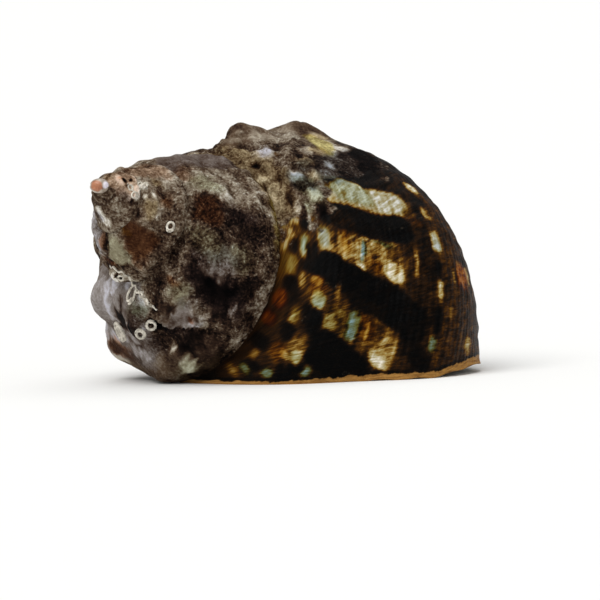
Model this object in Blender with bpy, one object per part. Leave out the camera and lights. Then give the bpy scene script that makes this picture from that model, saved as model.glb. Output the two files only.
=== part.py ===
"""Turban shell: one coiled sea-snail shell standing on its lip.

The shell is a tube that turns around a tilted spire axis and grows by a
fixed ratio in every turn.  The floor plane cuts the tube off; the cut is
the round mouth, and its edge is the flat lip the shell stands on.
"""
import bpy
import bmesh
import numpy as np

MM = 0.001

# ---- driving dimensions (millimetres, degrees, plain ratios) ----
APEX_HEIGHT = 30.3          # tip of the spire above the floor
SPIRE_RISE = 28.3           # slope of the spire axis above the floor
SPIRE_TURN = 48.0           # heading of the spire, from -X toward -Y
SUTURE_RADIUS = 17.9        # radius of the seam between turns at angle 0
SUTURE_HALF_ANGLE = 30.65   # half angle of the cone the seam lies on
TURN_GROWTH = 2.0           # size ratio from one turn to the next
TUBE_INSET = 0.522          # tube centre inside the seam cone
SIDE_SKEW = 0.045           # fuller shoulder, leaner lower side
SIDE_FLATTEN = 0.123        # flattening of the outer side of a turn
WALL = 1.3                  # wall thickness
COLUMELLA_RADIUS = 2.2      # half thickness of the central pillar
CALLUS = 0.7                # glaze over the turn inside the mouth
BASE_SWELL = 0.016          # fuller base below the lower seam
KNOBS_PER_TURN = 8.4        # knobs along the shoulder and along the side
KNOB_PHASE = -183.0         # angle of one knob crest
KNOB_SWELL = 0.110          # knob height, fraction of the seam distance
KNOB_SINK = 0.38            # part of the height that sinks between knobs
KNOB_POINT = 1.8            # how pointed the knobs are
KNOBS_END = (-172, -148)    # angles over which the last knobs fade out
SHOULDER_PLACE = 0.33       # shoulder knobs across the turn
SHOULDER_SPREAD = 0.17      # half width of the shoulder knobs
SIDE_PLACE = 0.82           # side knobs across the turn
SIDE_SPREAD = 0.17          # half width of the side knobs
SIDE_SHARE = 0.85           # side knob height against shoulder knobs
YOUNG_SHARE = 0.35          # knob height on the crusted older turns
YOUNG_END = (-385, -350)    # angles over which the knobs reach full height
DIP_DEPTH = 0.034           # flat stretch ahead of the last knobs
DIP_ANGLE = -152.0          # angle of the flat stretch
DIP_REACH = 20.0            # half length of the flat stretch
DIP_PLACE = 0.86            # flat stretch across the turn
DIP_SPREAD = 0.30           # half width of the flat stretch
LIP_FLARE = 0.030           # outward turn of the lip at its far corner
FLARE_HEIGHT = 1.6          # height over which the flare fades
FLARE_PLACE = 1.2           # flare across the turn
FLARE_SPREAD = 0.22         # half width of the flare
FLARE_START = -149.0        # angle where the flare may begin
CRUST_FILL = 0.055          # crust that fills the older seams
FILL_REACH = 0.34           # how far the fill spreads from a seam
FILL_END = (-470, -400)     # angles over which the fill thins out
INNER_LIFT = 0.3            # height of the inner lip above the floor
INNER_BACK = 6.9            # angle by which the inner lip stops short
FLOOR_SOFTNESS = 0.8        # rounding where the old turn nears the floor
FLOOR_SETTLE = 0.18         # drop that brings the old turn down to the floor
OLD_SIDE = (-206.3, -246.4)  # angles over which a turn counts as old
TIP_POINT = 0.8             # height of the tip against its width
TURNS_OUTSIDE = 4.25        # turns modelled outside
TURNS_INSIDE = 1.39         # depth of the hollow
WALL_LIMIT = 0.16           # thickest wall, fraction of the seam distance
PILLAR_LIMIT = 0.10         # thickest half pillar, likewise
CALLUS_LIMIT = 0.06         # thickest glaze, likewise

# ---- mesh counts ----
ROWS_PER_TURN = 45
SIDE_COLUMNS = 12
BASE_COLUMNS = 8
PILLAR_COLUMNS = 4
INNER_COLUMNS = 5
HOLLOW_ROWS_PER_TURN = 34
FAN_TURNS = 0.5             # part of a turn over which the rows fan out
AXIS_ROWS = 5               # rows that share one point on the spire axis
SEARCH_SPAN = (-230, 57)    # angles searched for the floor
SEARCH_STEPS = 3000
WALL_BLEND = 9.0            # sharpness of the corners inside the hollow
NO_WALL = 9.0               # distance that stands for no wall at all

TAU = 2 * np.pi
HALF = np.radians(SUTURE_HALF_ANGLE)
RISE = np.radians(SPIRE_RISE)
TURN = np.radians(SPIRE_TURN)
RATE = np.log(TURN_GROWTH) / TAU
SEAM = SUTURE_RADIUS / np.sin(HALF)


def spire_frame():
    """Unit axis toward the tip, and two directions across it."""
    axis = np.array([-np.cos(RISE) * np.cos(TURN), -np.cos(RISE) * np.sin(TURN), np.sin(RISE)])
    down = np.array([0.0, 0.0, -1.0])
    across = down - axis * (down @ axis)
    across /= np.linalg.norm(across)
    return axis, across, np.cross(axis, across)


AXIS, ACROSS, ASIDE = spire_frame()


def size_at(phi):
    """Distance from the tip to the upper seam at angle phi."""
    return SEAM * np.exp(RATE * phi)


# ---- cross-section of one turn, in (radius, depth) with seam distance 1 ----
ALONG = np.array([np.sin(HALF), np.cos(HALF)])
OUTWARD = np.array([np.cos(HALF), -np.sin(HALF)])
HALF_SPAN = (TURN_GROWTH - 1) / 2
CENTRE = ALONG * (1 + TURN_GROWTH) / 2 - OUTWARD * TUBE_INSET
RING = np.hypot(HALF_SPAN, TUBE_INSET)
OPENING = np.arctan2(HALF_SPAN, TUBE_INSET)


def ring_radius(t):
    """Radius of the tube section at place t (0 upper seam, 1 lower seam)."""
    s = np.clip(t, 0, 1)
    w = np.sin(np.pi * s)
    side = 1 + w ** 2 * (SIDE_SKEW * np.cos(np.pi * s) - SIDE_FLATTEN * w ** 2)
    return RING * side * (1 + BASE_SWELL * np.maximum(t - 1, 0) ** 2)


def ring_direction(t):
    """Unit direction from the tube centre at place t."""
    angle = -OPENING + t * 2 * OPENING
    return (np.cos(angle)[..., None] * OUTWARD + np.sin(angle)[..., None] * ALONG)


def section(t):
    """Point of the tube section at place t."""
    t = np.asarray(t, float)
    return CENTRE + ring_radius(t)[..., None] * ring_direction(t)


def axis_place():
    """Place t where the base of the tube meets the spire axis."""
    t = np.linspace(1, 3, 4001)
    return t[np.argmax(section(t)[:, 0] < 0)]


T_AXIS = axis_place()
DEPTH_AXIS = section(T_AXIS)[1]


def smooth_step(x, low, high):
    """Smooth change from 0 at low to 1 at high."""
    f = np.clip((x - low) / (high - low), 0, 1)
    return f * f * (3 - 2 * f)


def bell(x, centre, spread):
    """Bell curve of height 1."""
    return np.exp(-((x - centre) / spread) ** 2)


def knob_rise(phi, t):
    """Knobs in two rows that share their ribs, and the flat stretch after them."""
    degrees = np.degrees(phi)
    wave = 0.5 + 0.5 * np.cos(KNOBS_PER_TURN * (phi - np.radians(KNOB_PHASE)))
    rows = bell(t, SHOULDER_PLACE, SHOULDER_SPREAD) + SIDE_SHARE * bell(t, SIDE_PLACE, SIDE_SPREAD)
    share = 1 - smooth_step(degrees, *KNOBS_END)
    share *= YOUNG_SHARE + (1 - YOUNG_SHARE) * smooth_step(degrees, *YOUNG_END)
    seam = smooth_step(t, 0, 0.14) * (1 - smooth_step(t, 0.95, 1.25))
    knobs = KNOB_SWELL * (wave ** KNOB_POINT - KNOB_SINK) * rows * share * seam
    dip = DIP_DEPTH * bell(degrees, DIP_ANGLE, DIP_REACH) * bell(t, DIP_PLACE, DIP_SPREAD)
    return knobs - dip


def seam_fill(phi, t):
    """Crust that fills the seams of the older turns, measured out from the cone."""
    near_upper = 1 - smooth_step(t, 0, FILL_REACH)
    near_lower = smooth_step(t, 1 - FILL_REACH, 1) * (t < 1.001)
    upper = near_upper * (1 - smooth_step(np.degrees(phi), *FILL_END))
    lower = near_lower * (1 - smooth_step(np.degrees(phi) + 360, *FILL_END))
    return CRUST_FILL * (upper + TURN_GROWTH * lower)


def place(phi, radius, depth):
    """World position of a section point at angle phi."""
    size = size_at(phi)
    r = size * radius
    point = (
        (r * np.cos(phi))[..., None] * ACROSS
        - (r * np.sin(phi))[..., None] * ASIDE
        - (size * depth)[..., None] * AXIS
    )
    point[..., 2] += APEX_HEIGHT
    return point


def lift_off_floor(point, phi):
    """Keep the older turns just above the floor."""
    z = point[..., 2]
    soft = 0.5 * (z + np.sqrt(z ** 2 + FLOOR_SOFTNESS ** 2)) - FLOOR_SETTLE
    soft = np.maximum(soft, 0)
    old = np.clip((OLD_SIDE[0] - np.degrees(phi)) / (OLD_SIDE[0] - OLD_SIDE[1]), 0, 1)
    point[..., 2] = z + old * (soft - z)
    return point


def outside(phi, t):
    """Outer surface at angle phi and place t."""
    phi, t = np.broadcast_arrays(np.asarray(phi, float), np.asarray(t, float))
    plain = section(t)
    height = np.maximum(place(phi, plain[..., 0], plain[..., 1])[..., 2], 0)
    flare = LIP_FLARE * np.exp(-height / FLARE_HEIGHT) * bell(t, FLARE_PLACE, FLARE_SPREAD)
    flare = flare * (phi > np.radians(FLARE_START))
    p = plain + (knob_rise(phi, t) + flare)[..., None] * ring_direction(t)
    p = p + seam_fill(phi, t)[..., None] * OUTWARD
    p[..., 0] = np.where(t >= T_AXIS - 1e-9, 0.0, np.maximum(p[..., 0], 0.0))
    return lift_off_floor(place(phi, p[..., 0], p[..., 1]), phi)


def first_floor_crossing(height):
    """First angle at which each column of a height map reaches the floor."""
    phi = np.radians(np.linspace(*SEARCH_SPAN, SEARCH_STEPS))
    z = height(phi)
    k = np.maximum((z < 0).argmax(0), 1)
    column = np.arange(z.shape[1])
    above, below = z[k - 1, column], z[k, column]
    return phi[k - 1] + above / (above - below) * (phi[k] - phi[k - 1])


def lip_angle(t):
    """Angle at which the outer surface at place t meets the floor."""
    return first_floor_crossing(lambda phi: outside(phi[:, None], t[None])[..., 2])


# ---- the hollow: the section drawn in from every wall ----
def hollow_reach(direction, size):
    """Distance from the tube centre to the inner wall along a direction."""
    angle = np.arctan2(direction @ ALONG, direction @ OUTWARD)
    t = (angle + OPENING) % TAU / (2 * OPENING)
    own = ring_radius(t) - np.minimum(WALL / size, WALL_LIMIT)
    pillar = np.minimum(COLUMELLA_RADIUS / size, PILLAR_LIMIT)
    toward = np.maximum(-direction[..., 0], 1e-6)
    axis = np.where(direction[..., 0] < -1e-3, (CENTRE[0] - pillar) / toward, NO_WALL)
    old_ring = RING / TURN_GROWTH + np.minimum(CALLUS / size, CALLUS_LIMIT)
    offset = CENTRE - CENTRE / TURN_GROWTH
    b = direction @ offset
    disc = b ** 2 - (offset @ offset - old_ring ** 2)
    hit = (disc > 0) & (b < 0)
    old = np.where(hit, -b - np.sqrt(np.maximum(disc, 0)), NO_WALL)
    inverse = own ** -WALL_BLEND + axis ** -WALL_BLEND + old ** -WALL_BLEND
    return inverse ** (-1 / WALL_BLEND)


def hollow(phi, direction):
    """Inner surface at angle phi along a section direction."""
    size = size_at(phi)
    p = CENTRE + hollow_reach(direction, size)[..., None] * direction
    return place(phi, p[..., 0], p[..., 1])


def unit(v):
    """Vectors scaled to length 1."""
    return v / np.linalg.norm(v, axis=-1, keepdims=True)


class Mesh:
    """Vertex and face lists that grow as pieces are added."""

    def __init__(self):
        self.points = []
        self.faces = []
        self.count = 0

    def add(self, points):
        """Add an array of points and return their numbers in the same shape."""
        points = np.asarray(points, float)
        ids = self.count + np.arange(points[..., 0].size).reshape(points.shape[:-1])
        self.points.append(points.reshape(-1, 3))
        self.count += ids.size
        return ids

    def grid(self, ids):
        """Faces between the neighbours of a grid; repeated points drop out."""
        a, b, c, d = ids[:-1, :-1], ids[1:, :-1], ids[1:, 1:], ids[:-1, 1:]
        for quad in np.stack([a, b, c, d], -1).reshape(-1, 4).tolist():
            face = list(dict.fromkeys(quad))
            if len(face) > 2:
                self.faces.append(face)

    def zip_loops(self, loop_a, at_a, loop_b, at_b):
        """Triangles between two closed loops with matching parameters."""
        stops_a = at_a[1:] + [1.0, np.inf]
        stops_b = at_b[1:] + [1.0, np.inf]
        round_a = loop_a + loop_a[:1]
        round_b = loop_b + loop_b[:1]
        i = j = 0
        while i < len(loop_a) or j < len(loop_b):
            if stops_a[i] <= stops_b[j]:
                self.faces.append([round_a[i], round_a[i + 1], round_b[j]])
                i += 1
            else:
                self.faces.append([round_a[i], round_b[j + 1], round_b[j]])
                j += 1

    def fan(self, loop, centre):
        """Triangles from a closed loop to one centre point."""
        hub = int(self.add(np.asarray(centre)[None])[0])
        for a, b in zip(loop, loop[1:] + loop[:1]):
            self.faces.append([a, b, hub])


def outer_rows(t, end, first_end):
    """Angles of the mesh rows at places t; the last rows fan out to the lip."""
    step = TAU / ROWS_PER_TURN
    total = int(round(TURNS_OUTSIDE * ROWS_PER_TURN))
    fan_rows = int(round(FAN_TURNS * ROWS_PER_TURN))
    i = np.arange(total + 1)[:, None]
    plain = first_end - (total - i) * step
    base = first_end - fan_rows * step
    s = np.clip((i - (total - fan_rows)) / fan_rows, 0, 1)
    return np.where(i > total - fan_rows, base + s * (end[None] - base), plain + 0 * t[None])


def build_outside(mesh):
    """Outer side of all turns and the base of the last one.

    The upper seam of a turn uses the points of the lower seam one turn back.
    """
    t_side = np.linspace(0, 1, SIDE_COLUMNS + 1)
    t_base = np.linspace(1, T_AXIS, BASE_COLUMNS + 1)
    end_side, end_base = lip_angle(t_side), lip_angle(t_base)
    phi = outer_rows(t_side, end_side, end_side[0])
    points = outside(phi, t_side[None])
    n = ROWS_PER_TURN
    ids = np.zeros(phi.shape, int)
    ids[:, 1:] = mesh.add(points[:, 1:])
    ids[:n, 0] = mesh.add(points[:n, 0])
    ids[n:, 0] = ids[:-n, -1]
    mesh.grid(ids)
    start = len(phi) - 1 - n
    phi_b = outer_rows(t_base, end_base, end_side[0])[start:]
    points_b = outside(phi_b, t_base[None])
    ids_b = np.zeros(phi_b.shape, int)
    ids_b[:, 0] = ids[start:, -1]
    ids_b[:, 1:-1] = mesh.add(points_b[:, 1:-1])
    pillar = mesh.add(points_b[::AXIS_ROWS, -1])
    shared = (np.arange(n + 1) + AXIS_ROWS // 2) // AXIS_ROWS
    ids_b[:, -1] = pillar[np.minimum(shared, len(pillar) - 1)]
    mesh.grid(ids_b)
    tip = ids[:n, 0].tolist() + ids[0, :0:-1].tolist()
    width = np.linalg.norm(points[0, 0] - points[n // 2, 0])
    mesh.fan(tip, points[:n, 0].mean(0) + AXIS * TIP_POINT * width)
    return ids, ids_b, t_side, t_base, end_side


def mouth_loop(ids, ids_b):
    """Closed loop of outer vertices around the mouth, with parameters."""
    side = ids[-1].tolist()
    base = ids_b[-1, 1:].tolist()
    pillar = list(dict.fromkeys(ids_b[::-1, -1].tolist()))[1:]
    inner = ids_b[0, 1:-1][::-1].tolist()
    mark = SIDE_COLUMNS + BASE_COLUMNS
    at = list(range(mark + 1))
    at += [mark + (k + 1) / len(pillar) * PILLAR_COLUMNS for k in range(len(pillar))]
    mark += PILLAR_COLUMNS
    at += [mark + (k + 1) / (len(inner) + 1) * INNER_COLUMNS for k in range(len(inner))]
    total = mark + INNER_COLUMNS
    return side + base + pillar + inner, [v / total for v in at]


def hollow_columns(t_side, t_base, end_side):
    """Directions and end angles of the columns of the hollow."""
    own = np.concatenate([t_side, t_base[1:]])
    own_dir = ring_direction(own)
    own_end = first_floor_crossing(lambda phi: hollow(phi[:, None], own_dir[None])[..., 2])
    depth = np.linspace(DEPTH_AXIS, DEPTH_AXIS / TURN_GROWTH, PILLAR_COLUMNS + 1)[1:]
    pillar_dir = unit(np.stack([0 * depth, depth], -1) - CENTRE)
    t_in = np.linspace(T_AXIS, 1, INNER_COLUMNS + 1)[1:-1]
    inner_dir = unit(section(t_in) / TURN_GROWTH - CENTRE)
    last = end_side[0] - np.radians(INNER_BACK)
    f = (np.arange(PILLAR_COLUMNS) + 1) / PILLAR_COLUMNS
    pillar_end = own_end[-1] + f * (last - own_end[-1])
    inner_end = np.full(len(t_in), last)
    direction = np.concatenate([own_dir, pillar_dir, inner_dir])
    return direction, np.concatenate([own_end, pillar_end, inner_end])


def build_hollow(mesh, direction, end):
    """Inner surface from the mouth down to the rounded end of the hollow."""
    start = end.min() - TURNS_INSIDE * TAU
    rows = int(round((end.max() - start) / TAU * HOLLOW_ROWS_PER_TURN))
    s = np.linspace(1, 0, rows + 1)[:, None]
    phi = start + s * (end[None] - start)
    points = hollow(phi, direction[None])
    first_inner = SIDE_COLUMNS + BASE_COLUMNS + 1
    points[:, first_inner:, 2] = np.maximum(points[:, first_inner:, 2], INNER_LIFT)
    ids = mesh.add(points)
    ring = np.concatenate([ids, ids[:, :1]], 1)
    mesh.grid(ring)
    mesh.fan(ids[-1].tolist(), points[-1].mean(0))
    return ids[0].tolist()


def shell_mesh():
    """All vertices and faces of the shell."""
    mesh = Mesh()
    ids, ids_b, t_side, t_base, end_side = build_outside(mesh)
    direction, end = hollow_columns(t_side, t_base, end_side)
    ring = build_hollow(mesh, direction, end)
    loop, at = mouth_loop(ids, ids_b)
    mesh.zip_loops(loop, at, ring, [k / len(ring) for k in range(len(ring))])
    points = np.concatenate(mesh.points)
    low, high = points.min(0), points.max(0)
    points -= np.array([(low[0] + high[0]) / 2, (low[1] + high[1]) / 2, low[2]])
    return points * MM, mesh.faces


def shell_material():
    """Plain shell material."""
    material = bpy.data.materials.new("shell")
    material.use_nodes = True
    node = material.node_tree.nodes["Principled BSDF"]
    node.inputs["Base Color"].default_value = (0.20, 0.13, 0.08, 1.0)
    node.inputs["Roughness"].default_value = 0.55
    return material


def main():
    """Empty the file and build the shell as one object."""
    for item in list(bpy.data.objects):
        bpy.data.objects.remove(item, do_unlink=True)
    points, faces = shell_mesh()
    data = bpy.data.meshes.new("shell")
    data.from_pydata(points.tolist(), [], faces)
    work = bmesh.new()
    work.from_mesh(data)
    bmesh.ops.triangulate(work, faces=work.faces[:])
    bmesh.ops.recalc_face_normals(work, faces=work.faces[:])
    work.to_mesh(data)
    work.free()
    data.materials.append(shell_material())
    shell = bpy.data.objects.new("shell", data)
    bpy.context.scene.collection.objects.link(shell)


main()
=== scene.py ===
"""Turban shell: the looks of one coiled sea-snail shell standing on its lip.

Laid out as a Blender add-on and run as a script.  The shell is worked out
again as a fine surface from the same growth rule as the solid, with its
knobs, crust, ledge and lip, and painted in layers along the growth lines.
"""
import bpy
import numpy as np
from mathutils import Matrix, Vector


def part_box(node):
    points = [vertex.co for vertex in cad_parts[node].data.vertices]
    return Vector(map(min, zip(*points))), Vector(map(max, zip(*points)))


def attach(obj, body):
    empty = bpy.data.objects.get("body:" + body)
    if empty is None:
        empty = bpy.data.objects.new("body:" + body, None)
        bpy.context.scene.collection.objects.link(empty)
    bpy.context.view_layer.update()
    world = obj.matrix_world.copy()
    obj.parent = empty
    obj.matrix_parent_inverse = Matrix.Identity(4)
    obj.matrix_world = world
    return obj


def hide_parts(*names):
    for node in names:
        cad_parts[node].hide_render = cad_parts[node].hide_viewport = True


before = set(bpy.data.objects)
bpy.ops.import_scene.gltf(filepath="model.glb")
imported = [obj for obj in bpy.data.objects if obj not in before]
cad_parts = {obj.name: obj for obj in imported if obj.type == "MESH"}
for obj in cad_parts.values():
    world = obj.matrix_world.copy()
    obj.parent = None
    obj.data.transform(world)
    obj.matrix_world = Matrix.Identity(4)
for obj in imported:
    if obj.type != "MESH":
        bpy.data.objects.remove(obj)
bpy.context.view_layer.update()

bl_info = {
    "name": "Turban shell",
    "version": (1, 0, 0),
    "blender": (4, 5, 0),
    "location": "3D View > Sidebar > Shell",
    "description": "Builds one coiled turban shell with its crust, lip and mother-of-pearl",
    "category": "Object",
}

MM = 0.001
SOLID_LOW, SOLID_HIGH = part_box("shell")

# ---- growth of the shell, in millimetres, degrees and plain ratios ----
APEX_HEIGHT = 30.3          # tip of the spire above the floor
SPIRE_RISE = 28.3           # slope of the spire axis above the floor
SPIRE_TURN = 48.0           # heading of the spire, from -X toward -Y
SUTURE_RADIUS = 17.9        # radius of the seam between turns at angle 0
SUTURE_HALF_ANGLE = 30.65   # half angle of the cone the seam lies on
TURN_GROWTH = 2.0           # size ratio from one turn to the next
TUBE_INSET = 0.522          # tube centre inside the seam cone
SIDE_SKEW = 0.045           # fuller shoulder, leaner lower side
SIDE_FLATTEN = 0.123        # flattening of the outer side of a turn
WALL = 1.3                  # wall thickness
COLUMELLA_RADIUS = 2.2      # half thickness of the central pillar
CALLUS = 0.7                # glaze over the turn inside the mouth
BASE_SWELL = 0.016          # fuller base below the lower seam
KNOBS_PER_TURN = 8.4        # knobs along the shoulder and along the side
KNOB_PHASE = -183.0         # angle of one knob crest
KNOB_SINK = 0.38            # part of the height that sinks between knobs
SHOULDER_PLACE = 0.33       # shoulder knobs across the turn
SHOULDER_SPREAD = 0.17      # half width of the shoulder knobs
SIDE_PLACE = 0.82           # side knobs across the turn
SIDE_SPREAD = 0.17          # half width of the side knobs
SIDE_SHARE = 0.85           # side knob height against shoulder knobs
YOUNG_SHARE = 0.35          # knob height on the crusted older turns
DIP_DEPTH = 0.034           # flat stretch ahead of the last knobs
DIP_ANGLE = -152.0          # angle of the flat stretch
LIP_FLARE = 0.030           # outward turn of the lip at its far corner
CRUST_FILL = 0.055          # crust that fills the older seams
SEAM_REACH = 0.34           # how far across the turn it reaches from a seam
INNER_LIFT = 0.3            # height of the inner lip above the floor
FLOOR_SOFTNESS = 0.8        # rounding where the old turn nears the floor
FLOOR_SETTLE = 0.18         # drop that brings the old turn down to the floor
TURNS_OUTSIDE = 4.25        # turns modelled outside
TURNS_INSIDE = 1.39         # depth of the hollow

# ---- stretches of angle, in degrees, over which something changes ----
KNOBS_GROW = (-385, -350)   # knobs reach their full height
KNOBS_END = (-172, -148)    # and die out
SEAMS_OPEN = (-470, -400)   # crust stops filling the seams
CRUST_THINS = (-372, -340)  # lumps and pits grow shallower
CRUST_SETTLES = (-205, -185)    # and shallower again beside the last knobs
LEDGE_STARTS = (-430, -405)

# ---- mesh counts ----
FINE_ROWS = 320             # rows round the last turn
FINE_COLUMNS = 88           # columns across it, twice those of older turns
BASE_COLUMNS = 48
PILLAR_COLUMNS = 16
HOLLOW_ROWS = 130
BAND_ROWS = 4
COARSE_ROWS = FINE_ROWS // 2
COARSE_COLUMNS = FINE_COLUMNS // 2
INNER_COLUMNS = BASE_COLUMNS - 1
HOLLOW_COLUMNS = FINE_COLUMNS + BASE_COLUMNS + 1 + PILLAR_COLUMNS + INNER_COLUMNS

TAU = 2 * np.pi
HALF = np.radians(SUTURE_HALF_ANGLE)
RISE = np.radians(SPIRE_RISE)
TURN = np.radians(SPIRE_TURN)
RATE = np.log(TURN_GROWTH) / TAU
SEAM = SUTURE_RADIUS / np.sin(HALF)
FADE = 1.6                  # reach of a painted edge, mm
CORDS = 33                  # spiral cords across the last turn
DEGREE_MM = 0.0148          # mm along the turn for one degree, for each mm of size
RADIAN_MM = 0.85            # the same for one radian
PLACE_MM = 1.1              # mm across the turn for one place, for each mm of size
HOLLOW_MARK = 3.0           # places from here on belong to the hollow
BAND_MARK = 30.0            # angles from here on belong to the lip's underside
LIP_FROM, LIP_TO = -4.0, 1.0    # angles in radians between which the lip reaches the floor
OLD_FROM, OLD_FADE = -3.6, 0.7  # angle in radians before which turns are lifted off the floor
FAR = 9.0                   # stands for no wall in that direction, for each mm of size
BLEND_POWER = 9.0           # power that blends the walls of the hollow
MAP_CUT = -355.2            # angle in degrees at which the flat layout is cut

# ---- camera: degrees, and metres at the distance of the shell ----
CAMERA_RISE = 3.2
CAMERA_ROLL = 1.7
CAMERA_AWAY = 1.2
VIEW_WIDTH = 0.08648
VIEW_RIGHT = 0.001768       # middle of the view to the right of the origin
VIEW_UP = 0.01093           # and above it
SENSOR = 36.0               # width of the sensor, mm
FLOOR_REACH = 9.0           # half width of the floor


def spire_frame():
    """Unit axis toward the tip, and two directions across it."""
    axis = np.array([-np.cos(RISE) * np.cos(TURN), -np.cos(RISE) * np.sin(TURN), np.sin(RISE)])
    down = np.array([0.0, 0.0, -1.0])
    across = down - axis * (down @ axis)
    across /= np.linalg.norm(across)
    return axis, across, np.cross(axis, across)


AXIS, ACROSS, ASIDE = spire_frame()
ALONG = np.array([np.sin(HALF), np.cos(HALF)])
OUTWARD = np.array([np.cos(HALF), -np.sin(HALF)])
HALF_SPAN = (TURN_GROWTH - 1) / 2
CENTRE = ALONG * (1 + TURN_GROWTH) / 2 - OUTWARD * TUBE_INSET
RING = np.hypot(HALF_SPAN, TUBE_INSET)
OPENING = np.arctan2(HALF_SPAN, TUBE_INSET)


def size_at(phi):
    """Distance from the tip to the upper seam: it grows by the same ratio in every turn."""
    return SEAM * np.exp(RATE * phi)


def ring_radius(t):
    """Radius of the tube section at place t: a circle, flattened and skewed on its outer side."""
    s = np.clip(t, 0, 1)
    w = np.sin(np.pi * s)
    side = 1 + w ** 2 * (SIDE_SKEW * np.cos(np.pi * s) - SIDE_FLATTEN * w ** 2)
    return RING * side * (1 + BASE_SWELL * np.maximum(t - 1, 0) ** 2)


def ring_direction(t):
    """Unit direction from the tube centre at place t: the angle grows evenly with t."""
    angle = -OPENING + t * 2 * OPENING
    return np.cos(angle)[..., None] * OUTWARD + np.sin(angle)[..., None] * ALONG


def section(t):
    """Point of the tube section at place t: centre plus radius times direction."""
    t = np.asarray(t, float)
    return CENTRE + ring_radius(t)[..., None] * ring_direction(t)


def axis_place():
    """Place t where the base of the tube meets the spire axis."""
    t = np.linspace(1, 3, 4001)
    return t[np.argmax(section(t)[:, 0] < 0)]


T_AXIS = axis_place()
DEPTH_AXIS = section(T_AXIS)[1]


def smooth_step(x, low, high):
    """Smooth change from 0 at low to 1 at high: three f squared less two f cubed."""
    f = np.clip((x - low) / (high - low), 0, 1)
    return f * f * (3 - 2 * f)


def bell(x, centre, spread):
    """Bell curve of height 1: e to the power of minus the square of the offset over the spread."""
    return np.exp(-((x - centre) / spread) ** 2)


def plateau(x, rise, fall):
    """One between two smooth edges: a rise over the first pair of values, a fall over the second."""
    return smooth_step(x, *rise) * (1 - smooth_step(x, *fall))


def mounds(degrees, t, *table):
    """Sum of rounded mounds, each its height times a bell along the turn and a bell across it.

    Each mound is given as height, angle, reach in degrees, place across the turn, spread across it.
    """
    return sum(
        height * bell(degrees, angle, reach) * bell(t, place_at, spread)
        for height, angle, reach, place_at, spread in table)


def ripples(points, wavelength, seed, waves=20):
    """Soft random relief of unit spread: a sum of plane waves of about one length, each its own way."""
    rng = np.random.default_rng(seed)
    direction = rng.normal(size=(waves, 3))
    direction /= np.linalg.norm(direction, axis=1, keepdims=True)
    pitch = TAU / (wavelength * rng.uniform(0.75, 1.35, waves))
    phase = rng.uniform(0, TAU, waves)
    return np.sin(points @ (direction * pitch[:, None]).T + phase).sum(-1) * np.sqrt(2 / waves)


def knob_rise(phi, t, swell):
    """Knobs: a sharpened cosine wave along the turn times two bells across it, less the flat stretch."""
    degrees = np.degrees(phi)
    wave = 0.5 + 0.5 * np.cos(KNOBS_PER_TURN * (phi - np.radians(KNOB_PHASE)))
    rows = bell(t, SHOULDER_PLACE, SHOULDER_SPREAD) + SIDE_SHARE * bell(t, SIDE_PLACE, SIDE_SPREAD)
    share = 1 - smooth_step(degrees, *KNOBS_END)
    share *= YOUNG_SHARE + (1 - YOUNG_SHARE) * smooth_step(degrees, *KNOBS_GROW)
    seam = plateau(t, (0, 0.14), (0.95, 1.25))
    knobs = swell * (wave ** 1.8 - KNOB_SINK) * rows * share * seam
    return knobs - mounds(degrees, t, (DIP_DEPTH, DIP_ANGLE, 20, 0.86, 0.30))


def seam_fill(phi, t):
    """Crust that fills the seams of the older turns: smooth ramps toward both seams."""
    near_upper = smooth_step(SEAM_REACH - t, 0, SEAM_REACH)
    near_lower = smooth_step(t - (1 - SEAM_REACH), 0, SEAM_REACH) * (t < 1.001)
    upper = near_upper * (1 - smooth_step(np.degrees(phi), *SEAMS_OPEN))
    lower = near_lower * (1 - smooth_step(np.degrees(phi) + 360, *SEAMS_OPEN))
    return CRUST_FILL * (upper + TURN_GROWTH * lower)


def place(phi, radius, depth):
    """Point at angle phi: radius turned about the axis, depth down the axis, both times the size."""
    size = size_at(phi)
    r = size * radius
    point = (
        (r * np.cos(phi))[..., None] * ACROSS
        - (r * np.sin(phi))[..., None] * ASIDE
        - (size * depth)[..., None] * AXIS
    )
    point[..., 2] += APEX_HEIGHT
    return point


def lift_off_floor(point, phi):
    """Older turns stay above the floor: half of z and the root of z squared plus softness squared."""
    z = point[..., 2]
    soft = np.maximum(0.5 * (z + np.sqrt(z ** 2 + FLOOR_SOFTNESS ** 2)) - FLOOR_SETTLE, 0)
    old = np.clip((OLD_FROM - phi) / OLD_FADE, 0, 1)
    point[..., 2] = z + old * (soft - z)
    return point


def outside(phi, t, swell):
    """Outer surface: the section, pushed out by knobs, lip flare and seam crust, placed at its angle."""
    phi, t = np.broadcast_arrays(np.asarray(phi, float), np.asarray(t, float))
    plain = section(t)
    height = np.maximum(place(phi, plain[..., 0], plain[..., 1])[..., 2], 0)
    flare = LIP_FLARE * np.exp(-height / 1.6) * bell(t, 1.2, 0.22) * (phi > -2.6)
    p = plain + (knob_rise(phi, t, swell) + flare)[..., None] * ring_direction(t)
    p = p + seam_fill(phi, t)[..., None] * OUTWARD
    p[..., 0] = np.where(t >= T_AXIS - 1e-9, 0.0, np.maximum(p[..., 0], 0.0))
    return lift_off_floor(place(phi, p[..., 0], p[..., 1]), phi)


def first_floor_crossing(height):
    """First angle at which each column reaches the floor, worked out between two samples."""
    phi = np.linspace(LIP_FROM, LIP_TO, 2400)
    z = height(phi)
    below = z < 0
    k = np.where(below.any(0), np.maximum(below.argmax(0), 1), len(phi) - 1)
    col = np.arange(z.shape[1])
    above, under = z[k - 1, col], z[k, col]
    f = np.where(above - under > 1e-12, above / np.maximum(above - under, 1e-12), 1.0)
    return phi[k - 1] + np.clip(f, 0, 1) * (phi[k] - phi[k - 1])


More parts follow.
